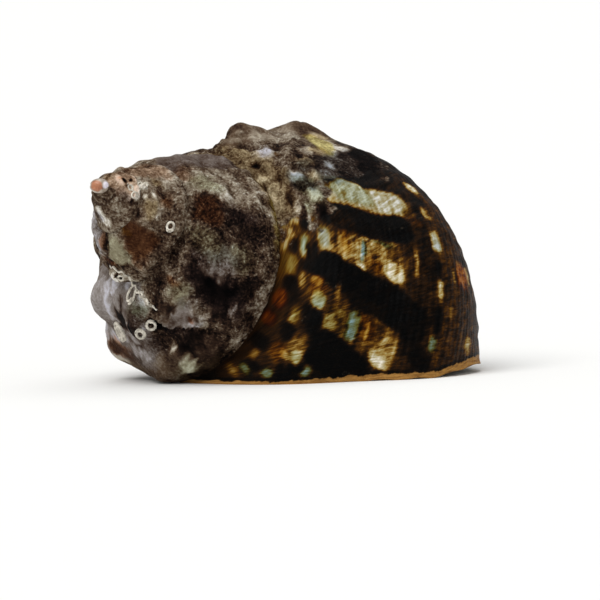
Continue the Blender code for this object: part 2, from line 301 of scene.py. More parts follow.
def hollow_reach(direction, size):
    """Distance from the tube centre to the inner wall: wall, pillar and older turn, blended by a power."""
    angle = np.arctan2(direction @ ALONG, direction @ OUTWARD)
    t = (angle + OPENING) % TAU / (2 * OPENING)
    own = ring_radius(t) - np.minimum(WALL / size, 0.16)
    pillar = np.minimum(COLUMELLA_RADIUS / size, 0.10)
    toward = np.maximum(-direction[..., 0], 1e-6)
    axis = np.where(direction[..., 0] < -1e-3, (CENTRE[0] - pillar) / toward, FAR)
    old_ring = RING / TURN_GROWTH + np.minimum(CALLUS / size, 0.06)
    offset = CENTRE - CENTRE / TURN_GROWTH
    b = direction @ offset
    disc = b ** 2 - (offset @ offset - old_ring ** 2)
    old = np.where((disc > 0) & (b < 0), -b - np.sqrt(np.maximum(disc, 0)), FAR)
    walls = own ** -BLEND_POWER + axis ** -BLEND_POWER + old ** -BLEND_POWER
    return walls ** (-1 / BLEND_POWER)


def hollow(phi, direction):
    """Inner surface at angle phi along a direction of the section."""
    p = CENTRE + hollow_reach(direction, size_at(phi))[..., None] * direction
    return place(phi, p[..., 0], p[..., 1])


def unit(v):
    """Each vector divided by its length."""
    return v / np.linalg.norm(v, axis=-1, keepdims=True)


# ---- the woven mesh: vertices and faces whose corners know their angle and place ----
class Weave:
    """Vertex and face arrays that grow as pieces of the surface are added."""

    def __init__(self):
        self.points = []
        self.turns = []
        self.places = []
        self.faces = []
        self.count = 0

    def add(self, points, phi, t):
        """New vertices with their angle and place; gives back their numbers in the same layout."""
        phi, t = [np.broadcast_to(a, points.shape[:-1]) for a in (phi, t)]
        numbers = self.count + np.arange(phi.size).reshape(phi.shape)
        self.points.append(points.reshape(-1, 3))
        self.turns.append(phi.reshape(-1))
        self.places.append(t.reshape(-1))
        self.count += phi.size
        return numbers

    def corners(self, parts, slot=0):
        """Faces from equal arrays, one (numbers, angle, place) for each corner in order."""
        shape = parts[0][0].shape
        stacked = [np.stack([np.broadcast_to(p[k], shape) for p in parts], -1) for k in range(3)]
        width = len(parts)
        self.faces.append([a.reshape(-1, width) for a in stacked] + [slot])

    def cells(self, numbers, phi, t, slot=0):
        """Four-cornered faces between neighbouring rows and columns of a grid."""
        phi, t = np.broadcast_arrays(phi, t)
        grid = (numbers, phi, t)
        first = [a[:-1, :-1] for a in grid]
        second = [a[1:, :-1] for a in grid]
        third = [a[1:, 1:] for a in grid]
        fourth = [a[:-1, 1:] for a in grid]
        self.corners([first, second, third, fourth], slot)


def fan_rows(t, end, first_end):
    """Angles of the last turn's rows: even steps, then a fan from a straight row to the lip."""
    step = TAU / FINE_ROWS
    half = FINE_ROWS // 2
    i = np.arange(FINE_ROWS + 1)[:, None]
    even = first_end - (FINE_ROWS - i) * step + 0 * t[None]
    base = first_end - half * step
    spread = np.clip((i - half) / (FINE_ROWS - half), 0, 1)
    return np.where(i > half, base + spread * (end[None] - base), even)


def weave_last_turn(weave, swell):
    """Side and base of the last turn, from one turn before the lip to the lip."""
    t_side = np.linspace(0, 1, FINE_COLUMNS + 1)
    t_base = np.linspace(1, T_AXIS, BASE_COLUMNS + 1)

    def height(t):
        """Height above the floor at places t, for any angles."""
        return lambda phi: outside(phi[:, None], t[None], swell)[..., 2]

    end_side = first_floor_crossing(height(t_side))
    end_base = first_floor_crossing(height(t_base))
    phi = fan_rows(t_side, end_side, end_side[0])
    points = outside(phi, t_side[None], swell)
    points[:, 0] = outside(phi[:, 0] - TAU, 1.0, swell)
    side = np.zeros(phi.shape, int)
    side[:-1] = weave.add(points[:-1], phi[:-1], t_side)
    side[-1, 1:] = weave.add(points[-1, 1:], phi[-1, 1:], t_side[1:])
    side[-1, 0] = side[0, -1]
    weave.cells(side, phi, t_side[None])

    phi_base = fan_rows(t_base, end_base, end_side[0])
    points = outside(phi_base, t_base[None], swell)
    base = np.zeros(phi_base.shape, int)
    base[:, 0] = side[:, -1]
    base[:, 1:-1] = weave.add(points[:, 1:-1], phi_base[:, 1:-1], t_base[1:-1])
    every = FINE_ROWS // PILLAR_COLUMNS
    pillar = weave.add(points[::every, -1], phi_base[::every, -1], T_AXIS)
    weave.cells(base[:, :-1], phi_base[:, :-1], t_base[None, :-1])
    weave_pillar(weave, base[:, -2], pillar, phi_base[:, -2:], t_base[-2:])
    return side, base, pillar, phi, t_side, t_base, end_side


def weave_pillar(weave, edge, pillar, phi, t):
    """Fans from the few vertices on the axis line to the fine edge beside it."""
    nearest = np.round(np.arange(len(edge)) / FINE_ROWS * PILLAR_COLUMNS).astype(int)
    hub = pillar[nearest]
    outer = (edge, phi[:, 0], np.full(len(edge), t[0]))
    inner = (hub, phi[:, 1], np.full(len(edge), t[1]))
    first = [a[:-1] for a in outer]
    second = [a[1:] for a in outer]
    third = [a[1:] for a in inner]
    fourth = [a[:-1] for a in inner]
    step = hub[1:] != hub[:-1]
    weave.corners([[a[~step] for a in part] for part in (first, second, third)])
    weave.corners([[a[step] for a in part] for part in (first, second, third, fourth)])


def weave_older_turns(weave, side, phi_side, swell):
    """Older turns in coarser cells, joined to the fine cells by five-cornered faces."""
    rows = int(round((TURNS_OUTSIDE - 1) * COARSE_ROWS))
    step = TAU / COARSE_ROWS
    t = np.linspace(0, 1, COARSE_COLUMNS + 1)
    phi = phi_side[0, 0] - (rows - np.arange(rows + 1))[:, None] * step + 0 * t[None]
    points = outside(phi, t[None], swell)
    one = COARSE_ROWS
    own = np.zeros(phi.shape, int)
    own[:-1, 1:-1] = weave.add(points[:-1, 1:-1], phi[:-1, 1:-1], t[1:-1])
    own[:rows - one, -1] = weave.add(points[:rows - one, -1], phi[:rows - one, -1], 1.0)
    own[rows - one:, -1] = side[::2, 0]
    own[-1] = side[0, ::2]
    own[:one, 0] = weave.add(points[:one, 0], phi[:one, 0], 0.0)
    own[one:, 0] = own[:-one, -1]
    places = np.broadcast_to(t[None], phi.shape)
    grid = (own, phi, places)
    weave.cells(own[:rows - one + 1], phi[:rows - one + 1], t[None])
    weave.cells(own[rows - one:-1, :-1], phi[rows - one:-1, :-1], t[None, :-1])

    low = slice(rows - one, rows - 1)
    high = slice(rows - one + 1, rows)
    middle = (side[1:-2:2, 0], (phi[low, -1] + phi[high, -1]) / 2, 1.0)
    weave.corners([
        [a[low, -2] for a in grid],
        [a[high, -2] for a in grid],
        [a[high, -1] for a in grid],
        middle,
        [a[low, -1] for a in grid],
    ])
    middle = (side[0, 1:-2:2], phi[-1, 0], (t[:-2] + t[1:-1]) / 2)
    weave.corners([
        [a[-2, :-2] for a in grid],
        [a[-1, :-2] for a in grid],
        middle,
        [a[-1, 1:-1] for a in grid],
        [a[-2, 1:-1] for a in grid],
    ])
    middle_row = (side[0, -2:-1], phi[-1, -1:], t[-2:-1])
    middle_column = (side[-2, 0][None], phi[-1, -1:], t[-1:])
    weave.corners([
        [a[-2, -2:-1] for a in grid],
        [a[-1, -2:-1] for a in grid],
        middle_row,
        [a[-1, -1:] for a in grid],
        middle_column,
        [a[-2, -1:] for a in grid],
    ])
    tip = np.concatenate([own[:one, 0], own[0, :0:-1]])
    tip_phi = np.concatenate([phi[:one, 0], phi[0, :0:-1]])
    across = np.linalg.norm(points[0, 0] - points[one // 2, 0])
    head = points[:one, 0].mean(0) + AXIS * 0.1 * across
    hub = np.full(len(tip), weave.add(head[None], phi[0, :1], t[:1])[0])
    weave.corners([
        (np.roll(tip, -1), tip_phi, 0.0),
        (tip, tip_phi, 0.0),
        (hub, tip_phi, 0.0),
    ])


def hollow_columns(t_side, t_base, end_side):
    """Directions and end angles of the columns of the hollow: own wall, pillar, older turn."""
    own = np.concatenate([t_side, t_base[1:]])
    own_dir = ring_direction(own)
    own_end = first_floor_crossing(lambda phi: hollow(phi[:, None], own_dir[None])[..., 2])
    depth = np.linspace(DEPTH_AXIS, DEPTH_AXIS / TURN_GROWTH, PILLAR_COLUMNS + 1)[1:]
    pillar_dir = unit(np.stack([0 * depth, depth], -1) - CENTRE)
    t_in = np.linspace(T_AXIS, 1, INNER_COLUMNS + 2)[1:-1]
    inner_dir = unit(section(t_in) / TURN_GROWTH - CENTRE)
    last = end_side[0] - 0.12
    f = (np.arange(PILLAR_COLUMNS) + 1) / PILLAR_COLUMNS
    pillar_end = own_end[-1] + f * (last - own_end[-1])
    ends = np.concatenate([own_end, pillar_end, np.full(INNER_COLUMNS, last)])
    return np.concatenate([own_dir, pillar_dir, inner_dir]), ends


def weave_hollow(weave, rim, t_side, t_base, end_side):
    """Hollow from its rounded end to the mouth, and the lip between its rim and the outer rim."""
    direction, end = hollow_columns(t_side, t_base, end_side)
    places = HOLLOW_MARK + np.arange(len(end)) / len(end)
    start = end.min() - TURNS_INSIDE * TAU
    s = np.linspace(1, 0, HOLLOW_ROWS + 1)[:, None]
    phi = start + s * (end[None] - start)
    points = hollow(phi, direction[None])
    first_inner = FINE_COLUMNS + BASE_COLUMNS + 1
    points[:, first_inner:, 2] = np.maximum(points[:, first_inner:, 2], INNER_LIFT)
    numbers = weave.add(points, phi, places)
    around = np.concatenate([numbers, numbers[:, :1]], 1)
    phi_around = np.concatenate([phi, phi[:, :1]], 1)
    t_around = np.append(places, HOLLOW_MARK + 1)[None]
    weave.cells(around, phi_around, t_around, 1)
    hub = np.full(len(places), weave.add(points[-1].mean(0)[None], phi[-1, :1], places[:1])[0])
    weave.corners([
        (around[-1, :-1], phi[-1], places),
        (hub, phi[-1], places),
        (around[-1, 1:], phi[-1], places),
    ], 1)

    outer = np.concatenate(weave.points)[rim]
    f = np.linspace(0, 1, BAND_ROWS + 1)[1:-1, None, None]
    between = outer[None] + f * (points[0] - outer)[None]
    band = np.concatenate([rim[None], weave.add(between, phi[0], places), numbers[:1]])
    band = np.concatenate([band, band[:, :1]], 1)
    phi_band = BAND_MARK + np.arange(BAND_ROWS + 1)[:, None] / BAND_ROWS + 0 * band
    weave.cells(band[:2], phi_band[:2], t_around, 0)
    weave.cells(band[1:], phi_band[1:], t_around, 1)


def weave_shell(swell):
    """The whole shell as one closed surface."""
    weave = Weave()
    side, base, pillar, phi, t_side, t_base, end_side = weave_last_turn(weave, swell)
    weave_older_turns(weave, side, phi, swell)
    rim = np.concatenate([side[-1], base[-1, 1:-1], pillar[::-1], base[0, -2:0:-1]])
    weave_hollow(weave, rim, t_side, t_base, end_side)
    return weave


# ---- relief on the shell ----
# Broken edge of the crust and last thickened rib, as (place across the turn, angle in degrees).
LEDGE = (
    (0.0, -362), (0.30, -367), (0.42, -374), (0.50, -381), (0.58, -391), (0.68, -398), (0.85, -402),
    (1.0, -404),
)
RIB = (
    (0.03, -116), (0.05, -121), (0.085, -130), (0.12, -135), (0.175, -143), (0.25, -151), (0.51, -170),
    (0.71, -180),
)
# Rounded forms, as (height in mm, angle, reach in degrees, place across the turn, spread across it):
# two swells below the last knobs with a valley between them, and the hollow ahead of the last knob.
SWELLS = ((0.35, -163, 13, 0.50, 0.11), (-0.45, -158, 13, 0.30, 0.10), (0.35, -170, 9, 0.80, 0.09))
KNOB_HOLLOW = ((1.9, -188, 7.5, 0.195, 0.085), (1.1, -194, 7.5, 0.285, 0.075))


def crust_cover(phi, t):
    """Share of lime crust: full on older turns, fading on the last turn, later near its upper seam."""
    degrees = np.degrees(phi)
    fade = -186 + 24 * (1 - smooth_step(t, 0.78, 0.95)) + 58 * np.exp(-(t / 0.20) ** 2)
    cover = 1 - smooth_step(degrees, fade - 16, fade + 16)
    return cover * (1 - 0.75 * smooth_step(t, 1.15, 1.5) * smooth_step(degrees, -330, -300))


def ledge_drop(phi, t):
    """Distance in degrees past the broken edge of the crust, which crosses the second turn."""
    places, angles = zip(*LEDGE)
    return np.degrees(phi) - np.interp(t, places, angles)


def off_rib(degrees, t):
    """Distance in degrees past the last thickened rib."""
    places, angles = zip(*RIB)
    return degrees - np.interp(t, places, angles)


def relief(phi, t, points, lump):
    """Height over the plain surface, mm: crust lumps and pits, ledge, seam folds, rib, hollow, waves."""
    degrees = np.degrees(phi)
    size = size_at(phi)
    cover = crust_cover(phi, t)

    # crust: lumps, pits and grains, finer on small turns and shallower in the smoother places
    scale = np.clip(size / 12, 0.25, 1.0)
    lumps = 0.15 * ripples(points, 3.4, 11) + 0.10 * ripples(points, 1.7, 12)
    pits = -0.28 * smooth_step(ripples(points, 2.3, 13), 1.1, 2.0)
    grains = 0.17 * smooth_step(ripples(points, 1.5, 14), 0.9, 2.2)
    old = 1 - smooth_step(degrees, *CRUST_THINS)
    smooth_left = bell(degrees, -325, 32) * (1 - smooth_step(t, 0.9, 1.2))
    smooth_left += bell(degrees, -545, 45)
    rough = cover * (0.45 + 0.55 * old) * (1 - 0.55 * smooth_left)
    rough *= 1 - 0.4 * smooth_step(degrees, *CRUST_SETTLES)
    smooth_brown = plateau(degrees, (-776, -768), (-740, -728)) * (1 - smooth_step(t, 0.55, 0.7))
    height = lump * rough * scale * (1 - 0.7 * smooth_brown) * (lumps + pits + grains)

    # broken ledge: a raised edge, and a groove just past it
    drop = ledge_drop(phi, t)
    across = plateau(t, (0.22, 0.36), (0.78, 0.95))
    ledge = 0.55 * across * (1 - smooth_step(drop, -1.2, 1.0)) * smooth_step(drop, -26, -8)
    height += ledge * smooth_step(degrees, *LEDGE_STARTS)
    height -= 0.30 * across * bell(drop, 3.0, 2.6) * old

    # folds below the upper seam: ripples drawn out along the turn, and small lumps
    along = size * RADIAN_MM * phi + 9.0 * t
    stretched = np.stack([along * 0.25, t * size * PLACE_MM, 0 * t], -1)
    folds = plateau(degrees, (-215, -180), (-128, -92)) * (1 - smooth_step(t, 0.16, 0.42))
    height += 0.20 * folds * ripples(stretched, 1.5, 15) + 0.14 * folds * ripples(points, 1.6, 16)

    # small single forms, the last rib with a groove past it, the rounded forms and the faint waves
    for form in FORMS:
        near, depth = patch_depth(degrees, t, form)
        height[near] += form[5] * smooth_step(depth, 0.0, 0.45)
    past_rib = off_rib(degrees, t)
    ribbed = plateau(t, (0.04, 0.12), (0.74, 0.86))
    height += ribbed * (0.45 * bell(past_rib, 0, 2.6) - 0.10 * bell(past_rib, 5.5, 2.6))
    height += mounds(degrees, t, *SWELLS) - mounds(degrees, t, *KNOB_HOLLOW)
    body = (1 - cover) * (1 - smooth_step(t, 1.6, 2.0))
    height += body * (0.05 * ripples(points, 2.6, 17))
    seam = smooth_step(t, 0.0, 0.03)
    return height * (0.35 + 0.65 * seam)


def lift_lip(points, lift):
    """The far corner of the lip stands a little above the floor, and its edge waves gently."""
    x, y, z = points[:, 0], points[:, 1], np.maximum(points[:, 2], 0)
    corner = lift * smooth_step(x, 20.0, 27.5) * np.exp(-z / 3.0)
    wave = 0.10 * (1 + np.sin(x * 1.1 + y * 0.4)) * smooth_step(x, 6, 12) * np.exp(-z / 0.9)
    lifted = points.copy()
    lifted[:, 2] += corner + wave * (y < 4)
    return lifted


# ---- painted tones: rounded patches (angle, place, half angle, half place, lean, level) ----
# Bare shell: 0 black, 0.3 amber brown, 0.5 gold, 0.75 cream, 1 white.  Later patches cover earlier ones.
# Glows are wide and soft, and lie under the flames.
GLOWS = (
    (-95, 0.98, 75, 0.22, 0, 0.26), (-150, 0.98, 18, 0.26, 0, 0.14), (-95, 0.70, 40, 0.09, 0, 0.17),
    (-58, 0.08, 34, 0.13, 0, 0.21), (-125, 0.12, 30, 0.16, 0, 0.32), (-104, 0.02, 26, 0.06, 0, 0.40),
    (-112, 0.018, 6, 0.03, 0, 0.58), (-76, 0.50, 8.5, 0.17, 0, 0.33), (-74, 0.32, 7.0, 0.09, 0, 0.28),
    (-100, 0.42, 8.0, 0.24, 0, 0.34), (-107, 0.47, 3.5, 0.14, -8, 0.30), (-57, 0.22, 7, 0.06, 0, 0.34),
    (-80, 0.20, 7, 0.06, 0, 0.32),
)
FLAMES = (
    # slate band below the last rib
    (-132, 0.66, 5, 0.06, 0, 0.15), (-139, 0.56, 8, 0.10, -20, 0.10),
    # cream band
    (-122.4, 0.49, 5.8, 0.215, 0, 0.76), (-125.2, 0.415, 5.2, 0.085, 0, 0.88),
    (-121.4, 0.61, 3.4, 0.085, 6, 0.83), (-120.6, 0.30, 4.0, 0.08, 0, 0.74),
    (-122, 0.20, 4.2, 0.034, 0, 0.80), (-120.5, 0.66, 1.6, 0.03, 6, 0.84),
    (-116.6, 0.52, 0.9, 0.16, 4, 0.46), (-115, 0.155, 6.0, 0.020, 0, 0.60),
    # dark band
    (-111.5, 0.42, 5.0, 0.24, 0, 0.03), (-115, 0.225, 4.6, 0.026, 0, 0.0),
    (-112.5, 0.61, 5.0, 0.070, 0, 0.0), (-110, 0.30, 4.0, 0.06, 0, 0.13),
    (-109, 0.47, 2.6, 0.06, 0, 0.05),
    # gold band: cream, gold and amber stripes with white at its lower end
    (-100, 0.40, 5.4, 0.21, -7, 0.46), (-102, 0.52, 4.6, 0.09, -6, 0.50),
    (-103.6, 0.57, 2.8, 0.03, 0, 0.38), (-100.6, 0.205, 4.8, 0.026, 0, 0.84),
    (-98.5, 0.292, 3.6, 0.018, 0, 0.68), (-99, 0.35, 3.0, 0.014, 0, 0.62),
    (-99, 0.25, 4.0, 0.016, 0, 0.46), (-99, 0.445, 4.4, 0.016, 0, 0.40),
    (-97, 0.485, 3.0, 0.016, 0, 0.40), (-102, 0.505, 3.0, 0.020, 0, 0.64),
    (-100, 0.425, 3.0, 0.012, 0, 0.60), (-104.5, 0.455, 1.2, 0.05, 0, 0.56),
    (-99.5, 0.392, 3.6, 0.012, 0, 0.84), (-94.0, 0.388, 1.5, 0.022, 0, 0.92),
    (-97.2, 0.566, 3.2, 0.050, 0, 0.70), (-95.6, 0.585, 2.0, 0.038, 0, 0.79),
    # black band
    (-88, 0.40, 5.4, 0.26, 2, 0.0), (-85.6, 0.54, 6.0, 0.15, 0, 0.0), (-84, 0.69, 6, 0.06, 0, 0.03),
    (-92.5, 0.24, 2.8, 0.05, 0, 0.0), (-82.5, 0.29, 2.6, 0.012, 0, 0.42),
    (-82.5, 0.44, 2.2, 0.10, 0, 0.08),
    # gold, cream and sea-green band
    (-75.5, 0.52, 5.0, 0.11, 6, 0.36), (-77.5, 0.53, 2.4, 0.05, 0, 0.25),
    (-73, 0.60, 5.0, 0.050, 0, 0.47), (-70.6, 0.575, 2.8, 0.046, 0, 0.68),
    (-69.2, 0.578, 1.6, 0.038, 0, 0.94), (-72.5, 0.325, 4.4, 0.052, 0, 0.38),
    (-71.5, 0.295, 2.8, 0.026, 0, 0.66), (-76, 0.33, 1.4, 0.022, 0, 0.56),
    (-74.4, 0.400, 4.4, 0.028, 0, 0.76), (-71.6, 0.400, 1.6, 0.020, 0, 0.80),
    (-75.5, 0.365, 3.8, 0.010, 0, 0.28), (-76, 0.475, 2.6, 0.008, 0, 0.60),
    # black ahead of the lip
    (-62, 0.42, 6.4, 0.15, 4, 0.0), (-64.5, 0.34, 4.6, 0.08, 0, 0.0), (-69, 0.235, 4.6, 0.030, 0, 0.0),
    (-50, 0.26, 5, 0.04, 0, 0.0), (-61, 0.30, 5.5, 0.045, 0, 0.0),
    # ovals along the upper seam
    (-80.6, 0.198, 4.4, 0.036, 4, 0.35), (-76.6, 0.220, 2.8, 0.028, 0, 1.0),
    (-83, 0.185, 1.6, 0.020, 0, 0.60), (-95.9, 0.118, 4.6, 0.020, 0, 1.0),
    (-86.2, 0.066, 5.4, 0.028, 0, 0.46), (-87, 0.070, 3.4, 0.018, 0, 0.56),
    (-108, 0.047, 5.6, 0.032, 0, 0.40), (-111.5, 0.071, 2.8, 0.010, 0, 0.84),
    (-107.4, 0.082, 2.8, 0.010, 0, 0.86), (-104.0, 0.080, 2.2, 0.010, 0, 0.84),
    (-101.8, 0.068, 2.2, 0.010, 0, 0.82), (-98.8, 0.050, 2.3, 0.011, 0, 0.72),
    (-96.6, 0.034, 2.3, 0.011, 0, 0.66), (-94.8, 0.020, 2.0, 0.010, 0, 0.62),
    (-111, 0.028, 5.8, 0.009, 0, 0.74), (-103.3, 0.048, 2.0, 0.009, 0, 0.78),
    (-95.9, 0.066, 3.4, 0.020, 0, 0.14), (-86.3, 0.018, 5.0, 0.020, 0, 0.34),
    (-81.5, 0.128, 3.8, 0.014, 0, 0.60), (-78, 0.08, 3.4, 0.034, 0, 0.06),
    (-92, 0.135, 6, 0.012, 0, 0.08), (-92, 0.165, 6, 0.012, 0, 0.06), (-70, 0.05, 4.0, 0.032, 0, 0.38),
    (-66.5, 0.145, 4.0, 0.022, 0, 0.50), (-65, 0.140, 2.2, 0.012, 0, 0.74),
    (-74, 0.115, 3.6, 0.02, 0, 0.14), (-60, 0.15, 3.2, 0.030, 0, 0.05),
    (-57.5, 0.215, 3.2, 0.034, 0, 0.50), (-54.8, 0.235, 2.2, 0.022, 0, 0.80),
    (-51, 0.15, 3.4, 0.030, 0, 0.36), (-52.6, 0.19, 1.4, 0.018, 0, 0.70),
    (-59, 0.04, 3.0, 0.030, -20, 0.36), (-71, 0.185, 3.0, 0.016, 0, 0.06),
    (-48.5, 0.06, 3.4, 0.04, -20, 0.05), (-43, 0.175, 2.2, 0.022, -30, 0.66),
    (-47, 0.22, 2.6, 0.030, 0, 0.02), (-53.0, 0.302, 2.4, 0.016, 0, 0.76),
    (-36, 0.09, 1.8, 0.028, -30, 0.62), (-40, 0.11, 1.6, 0.03, -30, 0.06),
    (-43, 0.08, 2.4, 0.016, -30, 0.48), (-30, 0.06, 2.0, 0.04, -30, 0.46),
    (-112, 0.125, 2.0, 0.024, 0, 0.08), (-114.5, 0.095, 2.2, 0.016, 0, 0.72),
    (-106.5, 0.125, 2.6, 0.022, 0, 0.06), (-104, 0.075, 3.2, 0.018, 0, 0.34),
    (-109, 0.055, 2.4, 0.014, 0, 0.62), (-118, 0.135, 2.0, 0.016, 0, 0.76),
    # dashes on the side cords
    (-131, 0.80, 2.2, 0.030, 0, 0.86), (-120.5, 0.80, 1.6, 0.022, 0, 0.60),
    (-111, 0.803, 3.2, 0.026, 0, 0.88), (-110.4, 0.803, 2.0, 0.016, 0, 1.0),
    (-96.4, 0.810, 2.6, 0.014, 0, 0.72), (-81.4, 0.80, 1.8, 0.018, 0, 0.78),
    (-102.5, 0.69, 4.6, 0.009, 0, 0.52), (-103, 0.905, 2.2, 0.012, 0, 0.58),
    (-92, 0.88, 2.0, 0.014, 0, 0.42), (-86.5, 1.05, 2.6, 0.024, 0, 0.74),
    (-107.5, 1.06, 2.2, 0.030, 0, 0.70), (-105.5, 0.99, 3.6, 0.060, -6, 0.53),
    (-102.4, 0.80, 2.6, 0.020, 0, 0.0), (-88, 0.81, 3.6, 0.022, 0, 0.02),
    (-125, 0.80, 1.8, 0.022, 0, 0.04), (-76, 0.76, 3, 0.05, 0, 0.04), (-118, 0.70, 2.4, 0.03, 0, 0.30),
)
